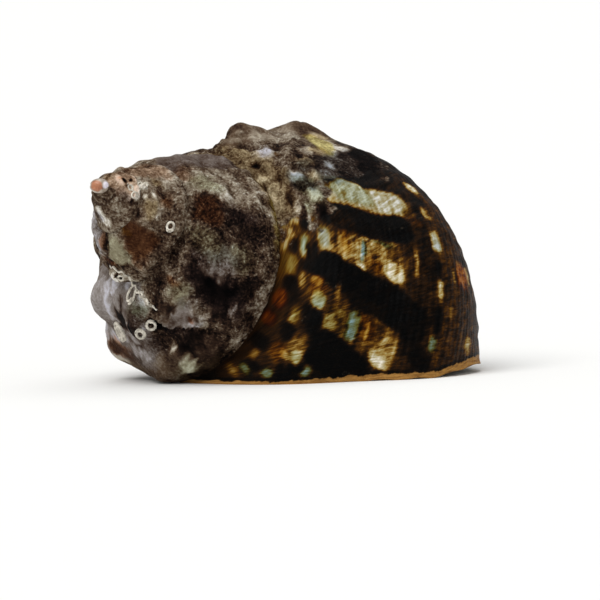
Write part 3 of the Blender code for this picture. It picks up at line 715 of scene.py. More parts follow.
# Crust: 0 soot, 0.3 purple-brown, 0.6 limestone, 1 lime white.
CRUSTS = (
    (-176, 0.30, 14, 0.50, -18, 0.49), (-150, 0.06, 46, 0.14, 0, 0.53), (-177, 0.28, 8, 0.13, 0, 0.44),
    (-176.8, 0.20, 4.0, 0.045, 0, 0.58), (-176, 0.79, 7, 0.16, -20, 0.28),
    (-170, 0.32, 4.5, 0.09, 0, 0.66), (-169, 0.158, 4.0, 0.036, 0, 0.40),
    (-158, 0.05, 4, 0.05, 0, 0.56), (-155.4, 0.143, 5.0, 0.036, 0, 1.0),
    (-149.6, 0.060, 3.0, 0.024, 0, 0.24), (-138.7, 0.018, 3.4, 0.018, 0, 0.74),
    (-134, 0.006, 3.0, 0.012, 0, 0.24), (-124, 0.020, 6.0, 0.022, 0, 0.78),
    (-143, 0.094, 5.0, 0.022, 0, 0.64), (-164, 0.24, 4.0, 0.04, 0, 0.46),
    (-136, 0.13, 4.0, 0.012, 0, 0.36), (-134.5, 0.055, 5.0, 0.020, 0, 0.66),
    # right of the rib: blotches from slate to white down to the bare shell
    (-128, 0.20, 18, 0.12, 0, 0.42), (-119.5, 0.086, 4.4, 0.012, 0, 0.14),
    (-114.9, 0.107, 3.8, 0.017, 0, 0.80), (-111.3, 0.147, 5.0, 0.010, 0, 0.68),
    (-120.6, 0.196, 5.6, 0.030, 0, 0.92), (-113, 0.127, 5.0, 0.008, 0, 0.20),
    (-127.2, 0.176, 3.6, 0.040, 0, 0.30), (-127, 0.115, 4.0, 0.018, 0, 0.36),
    (-108.4, 0.116, 4.0, 0.013, 0, 0.16), (-138.5, 0.235, 4.0, 0.045, 0, 0.34),
    (-111.8, 0.211, 5.4, 0.023, 0, 0.0),
    # film below the last rib, and the yellow patch on it
    (-142, 0.46, 11, 0.30, -16, 0.29), (-148, 0.70, 6.0, 0.09, -30, 0.10),
    (-139, 0.64, 4.5, 0.06, -20, 0.08), (-150, 0.56, 4, 0.05, -30, 0.24),
    (-135, 0.46, 3.5, 0.05, -20, 0.26), (-138.1, 0.368, 2.8, 0.034, -20, 0.92),
    (-140.6, 0.325, 3.0, 0.035, -20, 0.34), (-131.4, 0.324, 3.2, 0.055, 0, 0.48),
    (-131.1, 0.236, 2.6, 0.036, 0, 0.82), (-149.5, 0.345, 3.8, 0.060, -40, 0.76),
    (-146, 0.46, 3.0, 0.06, -20, 0.42), (-140.6, 0.245, 3.2, 0.046, 0, 0.62),
    (-134.4, 0.215, 2.6, 0.030, 0, 0.56), (-149, 0.43, 3.6, 0.060, -20, 0.62),
    (-168, 0.72, 4.6, 0.034, 0, 0.74), (-132.2, 0.163, 2.8, 0.028, 0, 0.92),
    (-159.5, 0.59, 6.8, 0.125, -75, 0.76), (-154.4, 0.645, 3.0, 0.042, -20, 0.86),
    # second turn, from the back to the lip
    (-526, 0.40, 16, 0.62, 0, 0.50), (-500, 0.06, 12, 0.09, 0, 0.64), (-503, 0.30, 10, 0.30, 0, 0.42),
    (-487, 0.30, 13, 0.34, 0, 0.64), (-486, 0.66, 12, 0.28, 0, 0.54), (-484, 0.24, 6, 0.10, 0, 0.64),
    (-476, 0.86, 10, 0.14, 0, 0.62), (-468, 0.05, 14, 0.06, 0, 0.50), (-461, 0.30, 11, 0.28, 0, 0.25),
    (-459, 0.62, 10, 0.26, 0, 0.23), (-464, 0.50, 5, 0.16, 0, 0.22), (-452, 0.92, 10, 0.10, 0, 0.32),
    (-452, 0.14, 6, 0.10, 0, 0.36), (-435, 0.24, 8, 0.20, 0, 0.42), (-435, 0.58, 8, 0.18, 0, 0.50),
    (-427, 0.90, 9, 0.045, 0, 0.58), (-430, 0.46, 4, 0.16, 0, 0.68), (-438, 0.44, 3, 0.05, 0, 0.52),
    (-448, 0.56, 5, 0.10, 0, 0.18), (-442, 0.88, 5, 0.05, 0, 0.26), (-429, 0.82, 4, 0.05, 0, 0.12),
    (-430, 0.11, 3, 0.05, 0, 0.34), (-413, 0.22, 10, 0.20, 0, 0.18), (-413, 0.56, 11, 0.24, 0, 0.08),
    (-422, 0.20, 4, 0.07, 0, 0.22), (-416, 0.47, 5.2, 0.16, 0, 0.0), (-408, 0.84, 9, 0.12, 0, 0.18),
    (-425, 0.74, 3, 0.10, 0, 0.08), (-410.4, 0.71, 2.2, 0.020, 0, 0.62),
    (-409, 0.80, 2.2, 0.018, 0, 0.50), (-402, 0.91, 3.2, 0.055, 0, 0.62),
    (-405, 0.10, 10, 0.08, 0, 0.44), (-396, 0.18, 5, 0.08, 0, 0.40), (-386, 0.41, 10, 0.13, 0, 0.42),
    (-393, 0.29, 8, 0.12, 0, 0.66), (-390, 0.56, 5.5, 0.10, -30, 0.52), (-384, 0.36, 5, 0.04, 0, 0.60),
    (-392.5, 0.48, 3.4, 0.042, 0, 0.26), (-391.4, 0.515, 2.0, 0.026, 0, 0.88),
    # the patch at (-386, 0.66) is a painted shadow just past the ledge
    (-378, 0.20, 8, 0.13, 0, 0.27), (-372, 0.50, 7, 0.14, 0, 0.27), (-386, 0.66, 5, 0.10, -40, 0.14),
    (-382, 0.82, 12, 0.16, 0, 0.21), (-377, 0.66, 5, 0.06, 0, 0.12), (-369, 0.64, 2.0, 0.026, 0, 0.92),
    (-372.4, 0.825, 4.6, 0.078, 4, 1.0), (-372.0, 0.820, 2.6, 0.042, 4, 0.62),
    (-361, 0.91, 6, 0.07, 0, 0.50), (-363, 0.34, 4.5, 0.055, 0, 0.76), (-359, 0.13, 9, 0.12, 0, 0.64),
    (-363, 0.16, 5, 0.04, 0, 0.84), (-349, 0.26, 4.6, 0.08, -20, 0.08),
    (-352, 0.67, 9, 0.08, -20, 0.58), (-358, 0.80, 6, 0.08, 0, 0.36), (-328, 0.14, 32, 0.22, 0, 0.60),
    (-312, 0.45, 11, 0.6, 0, 0.60), (-341, 0.46, 7, 0.07, -30, 0.74), (-348, 0.64, 7, 0.028, -20, 0.80),
    (-340, 0.62, 6, 0.05, -20, 0.72), (-325, 0.54, 9, 0.12, -20, 0.56),
    (-320.5, 0.72, 6.5, 0.060, -20, 0.36), (-360.8, 0.237, 4.6, 0.06, 0, 0.74),
    (-335.5, 0.28, 4.6, 0.15, 10, 0.14), (-317, 0.23, 11, 0.15, 0, 0.69),
    (-322, 0.20, 2.4, 0.20, -30, 0.94), (-309, 0.60, 3.0, 0.12, -20, 0.84),
    (-324, 0.10, 2.4, 0.05, 0, 0.40), (-355, 0.21, 6.0, 0.05, 0, 0.60),
    (-328.8, 0.494, 3.4, 0.06, -20, 0.94), (-326, 0.06, 5.0, 0.06, 0, 0.94),
    (-333, 0.17, 5.0, 0.09, 0, 0.70), (-345, 0.012, 4.0, 0.024, 0, 0.92),
    (-367, 0.10, 2.6, 0.030, 0, 0.50), (-390.4, 0.245, 3.0, 0.040, 0, 0.50),
    (-384.6, 0.300, 3.4, 0.046, 0, 0.10), (-373.6, 0.246, 4.0, 0.045, 0, 0.14),
    (-369.6, 0.330, 3.6, 0.040, 0, 0.16), (-361, 0.290, 3.0, 0.040, 0, 0.44),
    (-353.6, 0.275, 2.4, 0.050, 0, 0.34), (-401, 0.632, 3.2, 0.044, 0, 0.06),
    (-423.6, 0.420, 4.0, 0.095, -20, 0.60), (-422, 0.205, 2.6, 0.050, 0, 0.42),
    (-433.4, 0.045, 4.0, 0.070, 0, 0.64), (-399, 0.085, 3.2, 0.042, 0, 0.68),
    (-434, 0.610, 3.2, 0.060, 0, 0.26), (-440, 0.715, 3.4, 0.060, 0, 0.22),
    (-473, 0.395, 3.6, 0.070, 0, 0.72), (-479, 0.860, 3.8, 0.070, 0, 0.34),
    (-378, 0.99, 15, 0.07, 0, 0.22), (-335, 0.90, 16, 0.14, 0, 0.42), (-320, 0.82, 6, 0.05, 0, 0.80),
    (-430, 0.03, 18, 0.04, 0, 0.42), (-350, 0.36, 2.2, 0.06, 20, 0.0),
    (-319, 0.60, 4, 0.055, -20, 0.88),
    # third turn
    (-865, 0.45, 25, 0.60, 0, 0.62), (-815, 0.50, 26, 0.60, 0, 0.42), (-800, 0.18, 16, 0.16, 0, 0.56),
    (-801, 0.49, 8, 0.11, 0, 0.58), (-792, 0.14, 9, 0.12, 0, 0.60), (-843, 0.31, 7, 0.10, 0, 0.62),
    (-816, 0.55, 7, 0.08, 0, 0.34), (-822, 0.44, 6, 0.06, 0, 0.28), (-834, 0.08, 5, 0.09, 0, 0.92),
    (-816, 0.80, 14, 0.14, 0, 0.36), (-818, 0.28, 3.4, 0.036, 0, 1.0), (-784, 0.72, 3.0, 0.06, 0, 0.04),
    (-776, 0.84, 10, 0.16, 0, 0.36), (-755, 0.33, 19, 0.38, 0, 0.31), (-757, 0.40, 6, 0.10, 20, 0.40),
    (-742, 0.82, 12, 0.16, 0, 0.40), (-718, 0.33, 15, 0.24, 10, 0.58), (-716, 0.36, 7, 0.12, 10, 0.60),
    (-706, 0.82, 12, 0.13, 0, 0.66), (-701, 0.83, 4.0, 0.06, 0, 1.0),
    (-707.4, 0.827, 2.8, 0.036, 0, 0.0), (-701, 0.24, 2.6, 0.16, 12, 0.06),
    (-664, 0.22, 32, 0.32, 0, 0.70), (-720, 0.62, 3.4, 0.045, 0, 0.08), (-722, 0.98, 12, 0.05, 0, 0.30),
    (-560, 0.5, 18, 0.6, 0, 0.5),
    # tip
    (-1215, 0.30, 60, 0.70, 0, 0.58), (-1186, 0.66, 24, 0.30, 0, 0.84), (-836, 0.07, 9, 0.08, 0, 0.90),
    (-1210, 0.20, 22, 0.17, 0, 1.0), (-1204, 0.40, 7, 0.10, 0, 0.05), (-1209, 0.70, 5, 0.07, 0, 0.08),
    (-1184, 0.84, 12, 0.14, 0, 0.98), (-816, 0.075, 3.6, 0.050, 0, 1.0),
    (-1178, 0.90, 14, 0.16, 0, 1.0), (-1161, 0.62, 8, 0.08, 0, 0.78), (-1152, 0.70, 7, 0.06, 0, 0.06),
    (-1192, 0.46, 8, 0.10, 0, 0.40), (-803, 0.015, 6, 0.03, 0, 0.66), (-1213, 0.94, 12, 0.07, 0, 0.90),
    (-1063, 0.16, 13, 0.14, 0, 0.96), (-1067, 0.42, 13, 0.17, 0, 1.0), (-1077, 0.60, 10, 0.10, 0, 0.92),
    (-1030, 0.50, 14, 0.5, 0, 0.46), (-1115, 0.5, 18, 0.5, 0, 0.50), (-920, 0.40, 22, 0.5, 0, 0.56),
    (-1248, 0.05, 8, 0.10, 0, 0.40),
)
# Tints multiply the colour below: name, tint, softness in mm, and patches as above without a level.
TINTS = (
    ("slate", "#bcc6d8", 1.2, (
        (-140.5, 0.52, 9.4, 0.26, -25), (-129, 0.17, 5, 0.06, 0), (-138.5, 0.235, 4, 0.05, 0),
    )),
    ("sea green", "#95bbd8", 0.5, (
        (-74.4, 0.400, 5.0, 0.032, 0), (-101, 0.40, 3.6, 0.013, 0), (-43, 0.175, 2.6, 0.026, -30),
        (-36, 0.09, 2.2, 0.034, -30), (-53, 0.302, 2.8, 0.020, 0), (-106, 0.49, 1.2, 0.07, -6),
        (-81.4, 0.80, 2.0, 0.020, 0),
    )),
    ("pale green", "#dbe2cf", 1.0, (
        (-125, 0.40, 5.6, 0.13, 0), (-76.4, 0.22, 2.4, 0.026, 0), (-54.8, 0.235, 2.4, 0.026, 0),
        (-73, 0.32, 4.4, 0.06, 0), (-87, 0.05, 6, 0.045, 0), (-120.6, 0.196, 6.0, 0.034, 0),
        (-126, 0.18, 6, 0.05, 0), (-360.8, 0.237, 5, 0.07, 0), (-95.9, 0.118, 4.6, 0.018, 0),
        (-66.5, 0.14, 4.0, 0.024, 0), (-115, 0.155, 6.0, 0.022, 0),
    )),
    ("cool white", "#c6d2da", 1.0, (
        (-100.6, 0.205, 5.2, 0.030, 0), (-76.6, 0.22, 2.6, 0.028, 0), (-110.6, 0.803, 3.0, 0.024, 0),
        (-95.9, 0.118, 4.6, 0.018, 0),
    )),
    ("pearl grey", "#dde2ea", 1.5, (
        (-122.6, 0.48, 6.6, 0.24, 0),
    )),
    ("olive", "#efe7a6", 1.0, (
        (-160, 0.58, 6.4, 0.125, -75), (-470, 0.98, 26, 0.06, 0), (-745, 0.12, 6, 0.14, 0),
    )),
    ("rust", "#f3b182", 0.8, (
        (-105, 0.98, 4.0, 0.06, -6), (-392.5, 0.48, 2.6, 0.034, 0), (-70, 0.05, 4.5, 0.035, 0),
        (-59, 0.04, 4, 0.04, -20), (-696, 0.55, 12, 0.05, -60),
    )),
    ("amber", "#f4d68e", 1.0, (
        (-116.6, 0.54, 1.4, 0.16, 4), (-97, 0.46, 2.6, 0.05, 0), (-76, 0.46, 4.0, 0.06, 0),
        (-81, 0.20, 4.4, 0.036, 0), (-51, 0.15, 3.6, 0.03, 0), (-101, 0.30, 5, 0.03, 0),
    )),
    ("moss", "#dfe4d4", 1.6, (
        (-435, 0.24, 9, 0.22, 0), (-436, 0.58, 7, 0.14, 0), (-718, 0.33, 15, 0.26, 10),
        (-356, 0.20, 7, 0.08, 0), (-371, 0.86, 7, 0.12, 0), (-484, 0.24, 8, 0.14, 0),
        (-380, 0.95, 14, 0.10, 0), (-395, 0.26, 7, 0.10, 0), (-1248, 0.05, 12, 0.14, 0),
    )),
    ("chestnut", "#efc3a2", 1.2, (
        (-755, 0.33, 19, 0.38, 0), (-396, 0.14, 4, 0.05, 0), (-693, 0.14, 6, 0.11, 0),
        (-326, 0.70, 8, 0.08, -20), (-818, 0.52, 9, 0.12, 0), (-1214, 0.27, 5, 0.08, 0),
        (-461, 0.20, 10, 0.16, 0), (-320, 0.73, 6, 0.06, -20),
    )),
    ("sand", "#f3e6c8", 1.2, (
        (-150, 0.03, 44, 0.10, 0), (-131.1, 0.236, 2.8, 0.040, 0), (-168, 0.72, 5.0, 0.05, 0),
        (-140, 0.25, 4.0, 0.06, 0), (-149, 0.43, 4.0, 0.07, -20), (-845, 0.35, 12, 0.16, 0),
        (-800, 0.20, 14, 0.16, 0), (-486, 0.95, 16, 0.08, 0),
    )),
    ("blush", "#f4dccd", 1.4, (
        (-1215, 0.30, 60, 0.70, 0), (-880, 0.40, 26, 0.5, 0), (-985, 0.1, 20, 0.2, 0),
        (-500, 0.06, 12, 0.10, 0),
    )),
    ("lilac", "#d6d8ea", 1.6, (
        (-524, 0.38, 17, 0.62, 0), (-330, 0.30, 36, 0.5, 0), (-385, 0.46, 12, 0.14, 0),
        (-414, 0.50, 12, 0.30, 0), (-426, 0.38, 9, 0.22, -20), (-462, 0.54, 7, 0.2, 0),
        (-664, 0.22, 32, 0.32, 0), (-438, 0.44, 4, 0.05, 0), (-1160, 0.42, 8, 0.2, 0),
        (-422, 0.20, 5, 0.08, 0), (-156, 0.155, 5, 0.05, -15), (-1048, 0.38, 14, 0.16, 0),
        (-318, 0.40, 16, 0.4, 0),
    )),
)
# Thin dull film over the bare shell, as patches; its tones stand with those of the crust.
FILMS = (
    (-143, 0.50, 9, 0.26, -20), (-136, 0.22, 10, 0.10, 0), (-162, 0.60, 8, 0.19, -30),
    (-176, 0.55, 14, 0.35, -20), (-122, 0.14, 13, 0.080, 0), (-118, 0.02, 10, 0.05, 0),
    (-154, 0.38, 12, 0.16, -20),
)
# Smooth places in the crust, as patches.
CALM = (
    (-756, 0.30, 20, 0.34, 0), (-326, 0.35, 30, 0.60, 0), (-526, 0.40, 18, 0.62, 0),
    (-372, 0.80, 24, 0.20, 0), (-386, 0.40, 12, 0.16, 0), (-718, 0.33, 14, 0.24, 10),
    (-416, 0.47, 7, 0.20, 0), (-176, 0.27, 7, 0.16, 0), (-176, 0.75, 7, 0.18, 0),
)
# Forms too small for the solid: patches with a height in mm.
FORMS = (
    (-372, 0.84, 5.0, 0.085, 4, 0.35), (-718, 0.33, 13, 0.24, 10, 0.40),
    (-707.4, 0.827, 2.4, 0.034, 0, -0.6), (-1204, 0.40, 7.0, 0.10, 0, -0.35),
    (-350, 0.36, 2.2, 0.05, 20, -0.45), (-701, 0.25, 3.0, 0.16, 12, -0.35),
    (-169, 0.155, 3.4, 0.045, 0, -0.12), (-149.6, 0.06, 3.0, 0.030, 0, -0.12),
    (-155.2, 0.145, 4.4, 0.036, 0, 0.12), (-180, 0.775, 8, 0.030, 0, -0.35),
    (-322, 0.20, 2.0, 0.18, -30, 0.15), (-309, 0.60, 3.0, 0.12, -20, 0.20),
    (-315, 0.26, 11, 0.20, 0, 0.12), (-349, 0.26, 4.0, 0.07, -20, -0.35),
    (-706, 0.82, 9, 0.10, 0, 0.30), (-818, 0.28, 3.0, 0.035, 0, 0.2),
)


def patch_depth(degrees, t, patch):
    """Distance inside one patch, mm: one less a cubic norm of the offsets, times its short reach."""
    angle, place_at, half_angle, half_place, lean = patch[:5]
    near = np.nonzero(abs(degrees - angle) < half_angle * 2 + 14)[0]
    u = abs(degrees[near] - angle - lean * (t[near] - place_at)) / half_angle
    v = abs(t[near] - place_at) / half_place
    size = size_at(np.radians(angle))
    reach = min(half_angle * DEGREE_MM, half_place * PLACE_MM) * size
    return near, (1 - (u ** 3 + v ** 3) ** (1 / 3)) * reach


def patch_field(degrees, t, patches):
    """Distance inside the nearest of several patches, mm."""
    best = np.full(degrees.shape, -FADE)
    for patch in patches:
        near, depth = patch_depth(degrees, t, patch)
        best[near] = np.maximum(best[near], depth)
    return np.clip(best, -FADE, FADE)


def painted_tone(degrees, t, tone, patches, softness):
    """Tone after each patch in turn has covered what lies under it, with edges of one softness, mm."""
    for patch in patches:
        near, depth = patch_depth(degrees, t, patch)
        soft = min(softness, 1.2 * patch[3] * PLACE_MM * size_at(np.radians(patch[0])))
        mask = smooth_step(depth, -soft / 2, soft / 2)
        tone[near] += mask * (patch[5] - tone[near])
    return tone


def bare_tone(degrees, t, points):
    """Tone of the bare shell: dark, with gold flames every 26 degrees on the base, then the patches."""
    base = plateau(t, (1.10, 1.22), (1.95, 2.1))
    flame = np.cos(TAU * (degrees + 98 - 40 * (t - 1)) / 26) + 0.45 * ripples(points, 3.0, 21)
    tone = 0.13 + 0.03 * ripples(points, 4.0, 20) + base * 0.45 * smooth_step(flame, 0.1, 1.3)
    tone = painted_tone(degrees, t, tone, GLOWS, 2.6)
    return painted_tone(degrees, t, tone, FLAMES, 0.8)


def crust_tone(degrees, t, points):
    """Tone of the crust: purple-brown with random clouds, the patches, painted light and shade at the
    ledge, and a painted highlight and painted shade at the last rib.
    """
    turn = (degrees + 355) % 360
    back = plateau(turn, (50, 80), (150, 185)) * (t < 1.05)
    clouds = 0.05 * ripples(points, 6.0, 22) + back * 0.09 * ripples(points, 5.0, 23)
    tone = 0.37 + 0.06 * back + clouds
    tone = painted_tone(degrees, t, tone, CRUSTS, 1.2)
    drop = ledge_drop(np.radians(degrees), t)
    across = plateau(t, (0.28, 0.36), (0.60, 0.75))
    # painted highlight on the raised edge of the ledge and painted shadow in the groove just past it
    tone += across * (0.22 * bell(drop, -2.0, 1.3) - 0.30 * bell(drop, 2.4, 1.8))
    along = off_rib(degrees, t)
    # painted highlight on the crest of the last rib, and painted shade in the groove past it on the upper
    # part of the turn
    return tone + 0.05 * bell(along, 0, 2.2) - 0.04 * bell(along, 5.0, 2.0) * (t < 0.7)


def lip_line():
    """Places across the turn and the angles at which the lip crosses them, as growth lines do."""
    places = np.linspace(0, 0.97 * T_AXIS, 60)
    angles = first_floor_crossing(lambda phi: outside(phi[:, None], places[None], 0.0)[..., 2])
    return places, angles


def lip_field(phi, t, points):
    """Distance inside the golden lip margin, mm: its width, greatest at the far corner, less the height."""
    x, z = points[:, 0], points[:, 2]
    width = 0.45 + 0.40 * smooth_step(x, -2, 14) + 0.85 * smooth_step(x, 21, 27)
    last = smooth_step(np.degrees(phi), -130, -118)
    rim = np.where(t >= HOLLOW_MARK, 1.0, width - z - 3.0 * (1 - last))
    return np.clip(rim, -FADE, FADE)


# ---- build in Blender ----
def linear(colour):
    """Linear red, green, blue and one, from an sRGB hex text."""
    value = np.array([int(colour[i:i + 2], 16) for i in (1, 3, 5)]) / 255
    value = np.where(value <= 0.04045, value / 12.92, ((value + 0.055) / 1.055) ** 2.4)
    return (*[float(v) for v in value], 1.0)


def add_node(tree, kind, inputs=(), **settings):
    """One node with its settings; inputs are values, or sockets to link from."""
    node = tree.nodes.new(kind)
    for name, value in settings.items():
        setattr(node, name, value)
    for name, value in dict(inputs).items():
        if isinstance(value, bpy.types.NodeSocket):
            tree.links.new(value, node.inputs[name])
        else:
            node.inputs[name].default_value = value
    return node


def new_mesh(name, points, numbers, widths, slots=None):
    """Smooth mesh object at the origin from arrays: points in metres, face corners and face widths."""
    mesh = bpy.data.meshes.new(name)
    mesh.vertices.add(len(points))
    mesh.vertices.foreach_set("co", np.ascontiguousarray(points, np.float32).ravel())
    mesh.loops.add(len(numbers))
    mesh.loops.foreach_set("vertex_index", np.ascontiguousarray(numbers, np.int32))
    mesh.polygons.add(len(widths))
    starts = np.concatenate([[0], np.cumsum(widths)[:-1]]).astype(np.int32)
    mesh.polygons.foreach_set("loop_start", starts)
    if slots is not None:
        mesh.polygons.foreach_set("material_index", slots.astype(np.int32))
    mesh.update(calc_edges=True)
    mesh.shade_smooth()
    piece = bpy.data.objects.new(name, mesh)
    bpy.context.scene.collection.objects.link(piece)
    return piece


def store(mesh, name, values):
    """Three numbers at every face corner, for the material to read."""
    layer = mesh.attributes.new(name, "FLOAT_VECTOR", "CORNER")
    layer.data.foreach_set("vector", np.ascontiguousarray(np.stack(values, -1), np.float32).ravel())


def unrolled_map(mesh, phi, t, widths):
    """Flat layout: one band each for last turn, turn before, tip turns, base, hollow and lip."""
    starts = np.cumsum(widths) - widths
    first = np.repeat(np.minimum.reduceat(phi, starts), widths)
    place_first = np.repeat(np.minimum.reduceat(t, starts), widths)
    cut = np.radians(MAP_CUT)
    u = (phi - cut) / TAU
    inside = place_first >= HOLLOW_MARK
    hollow_places = (HOLLOW_MARK, HOLLOW_MARK + 1)
    bands = (
        (np.ones(len(t), bool), (0.0, 1.03), (0.0, 1.0), (0.01, 0.99), (0.01, 0.38)),
        (first < cut - 1e-3, (-1.0, 0.0), (0.0, 1.0), (0.01, 0.99), (0.40, 0.62)),
        (first < cut - TAU - 1e-3, (-3.27, -1.0), (0.0, 1.0), (0.01, 0.99), (0.64, 0.74)),
        (place_first >= 1 - 1e-6, (0.0, 1.03), (1.0, T_AXIS), (0.01, 0.99), (0.76, 0.87)),
        (inside, (-1.4, 1.03), hollow_places, (0.01, 0.80), (0.89, 0.99)),
        (inside & (first > BAND_MARK - 1), None, hollow_places, (0.82, 0.99), (0.89, 0.99)),
    )
    flat = np.zeros((len(phi), 2))
    for chosen, span_u, span_v, to_u, to_v in bands:
        along = phi - BAND_MARK if span_u is None else (u - span_u[0]) / (span_u[1] - span_u[0])
        across = (t - span_v[0]) / (span_v[1] - span_v[0])
        flat[chosen, 0] = (to_u[0] + np.clip(along, 0, 1) * (to_u[1] - to_u[0]))[chosen]
        flat[chosen, 1] = (to_v[0] + np.clip(across, 0, 1) * (to_v[1] - to_v[0]))[chosen]
    layer = mesh.uv_layers.new(name="OFBake")
    layer.uv.foreach_set("vector", flat.astype(np.float32).ravel())


def build_shell(settings):
    """Shell piece: woven surface, moved onto the solid, pushed out by its relief, and painted."""
    weave = weave_shell(settings.knob_swell)
    points = np.concatenate(weave.points)
    turns = np.concatenate(weave.turns)
    places = np.concatenate(weave.places)
    low, high = points.min(0), points.max(0)
    middle = (np.array(SOLID_LOW) + np.array(SOLID_HIGH)) / MM / 2
    points -= np.array([*((low + high) / 2 - middle)[:2], low[2]])
    numbers = np.concatenate([f[0].ravel() for f in weave.faces])
    phi = np.concatenate([f[1].ravel() for f in weave.faces])
    t = np.concatenate([f[2].ravel() for f in weave.faces])
    widths = np.concatenate([np.full(len(f[0]), f[0].shape[1]) for f in weave.faces])
    slots = np.concatenate([np.full(len(f[0]), f[3]) for f in weave.faces])
    piece = new_mesh("shell_surface", points * MM, numbers, widths, slots)
    mesh = piece.data

    normals = np.empty(len(points) * 3, np.float32)
    mesh.vertex_normals.foreach_get("vector", normals)
    outer = places < HOLLOW_MARK
    own_place = (places - HOLLOW_MARK) * HOLLOW_COLUMNS / FINE_COLUMNS
    inner = mounds(np.degrees(turns), own_place, *KNOB_HOLLOW)
    height = np.where(outer, relief(turns, places, points, settings.lump_height), inner)
    low_edge = smooth_step(points[:, 2], 0.0, 1.2)
    shaped = points + normals.reshape(-1, 3) * (height * low_edge)[:, None]
    shaped[:, 2] = np.maximum(shaped[:, 2], 0)
    shaped = lift_lip(shaped, settings.lip_lift)
    mesh.vertices.foreach_set("co", (shaped * MM).astype(np.float32).ravel())
    mesh.update()

    paint_fields(mesh, phi, t, points[numbers], height[numbers])
    unrolled_map(mesh, phi, t, widths)
    return piece


def paint_fields(mesh, phi, t, at, height):
    """Stores tones, tints, the grain along growth lines and cords, and the state of the surface.

    Every painted place is first moved a little by random ripples, so that its edges wander.
    """
    outer = t < HOLLOW_MARK
    outer_phi = np.where(outer, phi, 0.0)
    size = size_at(outer_phi)
    degrees = np.degrees(outer_phi)
    one_degree = DEGREE_MM * size
    one_place = PLACE_MM * size
    drift = 0.28 * ripples(at, 3.2, 31) + 0.20 * ripples(at, 1.2, 32)
    slide = 0.28 * ripples(at, 3.2, 33) + 0.20 * ripples(at, 1.2, 34)
    steady = (0.35 + 0.65 * crust_cover(outer_phi, t)) * np.clip(size / 14, 0.15, 1)
    steady *= 1 - 0.6 * smooth_step(degrees, -200, -185)
    moved = degrees + steady * drift / one_degree
    aside = t + steady * slide / one_place
    bare = bare_tone(moved, aside, at)
    crust = crust_tone(moved, aside, at)
    lip = lip_field(phi, t, at)
    # painted shade: the bare shell darkens in a thin line just above the golden lip margin
    bare -= 0.8 * bare * bell(lip, -0.32, 0.18)
    loose = patch_field(degrees + 2.2 * drift / one_degree, t + 2.2 * slide / one_place, FILMS)
    films = smooth_step(loose, -1.5, 0.7)
    wander = np.radians(degrees + 7 * drift / one_degree)
    cover = np.maximum(crust_cover(wander, t), films)
    store(mesh, "tone", (bare, crust, np.where(outer, cover, 0.0)))
    fields = [patch_field(moved, aside, patches) for _, _, _, patches in TINTS]
    fields += [np.clip(1.2 * smooth_step(t, 1.85, 2.05) - 1.0, -FADE, FADE)]
    fields += [np.zeros(len(phi))] * (-len(fields) % 3)
    for k in range(0, len(fields), 3):
        store(mesh, "tint %d" % (k // 3), fields[k:k + 3])
    leaning = outer_phi - np.interp(t, *lip_line())
    along = RADIAN_MM / RATE * size_at(leaning)
    store(mesh, "grain", (along, t * PLACE_MM * size, t * CORDS))
    calm = smooth_step(patch_field(moved, aside, CALM), -0.6, 0.8)
    # the clipped relief height goes along so that the material paints light and shade onto the crust
    store(mesh, "state", (np.clip(height, -0.35, 0.25), lip, calm))


def empty_material(name):
    """New material of that name, and its node tree with nothing in it yet."""
    material = bpy.data.materials.new(name)
    material.use_nodes = True
    material.node_tree.nodes.clear()
    return material, material.node_tree


# Colours of the bare shell and of the crust along their tones.
BARE_STOPS = (
    (0.0, "#010101"), (0.14, "#0e0703"), (0.26, "#291707"), (0.38, "#4f2f09"), (0.50, "#7f591b"),
    (0.62, "#a18748"), (0.74, "#b3a477"), (0.86, "#cbc1a2"), (1.0, "#efe9da"),
)
CRUST_STOPS = (
    (0.0, "#020101"), (0.14, "#150d0a"), (0.28, "#35251c"), (0.42, "#5b4939"), (0.56, "#827463"),
    (0.70, "#a49987"), (0.84, "#c9c0b0"), (1.0, "#f0ebe2"),
)
# Noises: name, stretch along the turn, across it and over the cords, scale, detail, roughness, twist.
# The first three follow the growth lines and cords.  The last three, in the crust, have no stretch:
# clouds of 3 mm, grains of 1 mm and specks of 0.4 mm.
NOISES = (
    ("streak", (2.5, 0.40, 0.0), 1.0, 4.0, 0.70, 0.9),
    ("blotch", (1.3, 0.60, 0.0), 1.0, 5.0, 0.62, 0.4),
    ("cord", (0.25, 0.0, 0.85), 1.0, 3.0, 0.50, 0.0),
    ("mottle", None, 340.0, 3.0, 0.60, 0.0),
    ("grit", None, 1100.0, 5.0, 0.70, 0.0),
    ("speck", None, 2600.0, 2.0, 0.60, 0.0),
)
CORD_HEIGHT = 0.02          # fine relief of the cords, mm
LINE_HEIGHT = 0.14          # fine relief of the growth lines, mm
PEARL_SOFTNESS = 0.5        # edge of the bare pearly base, mm


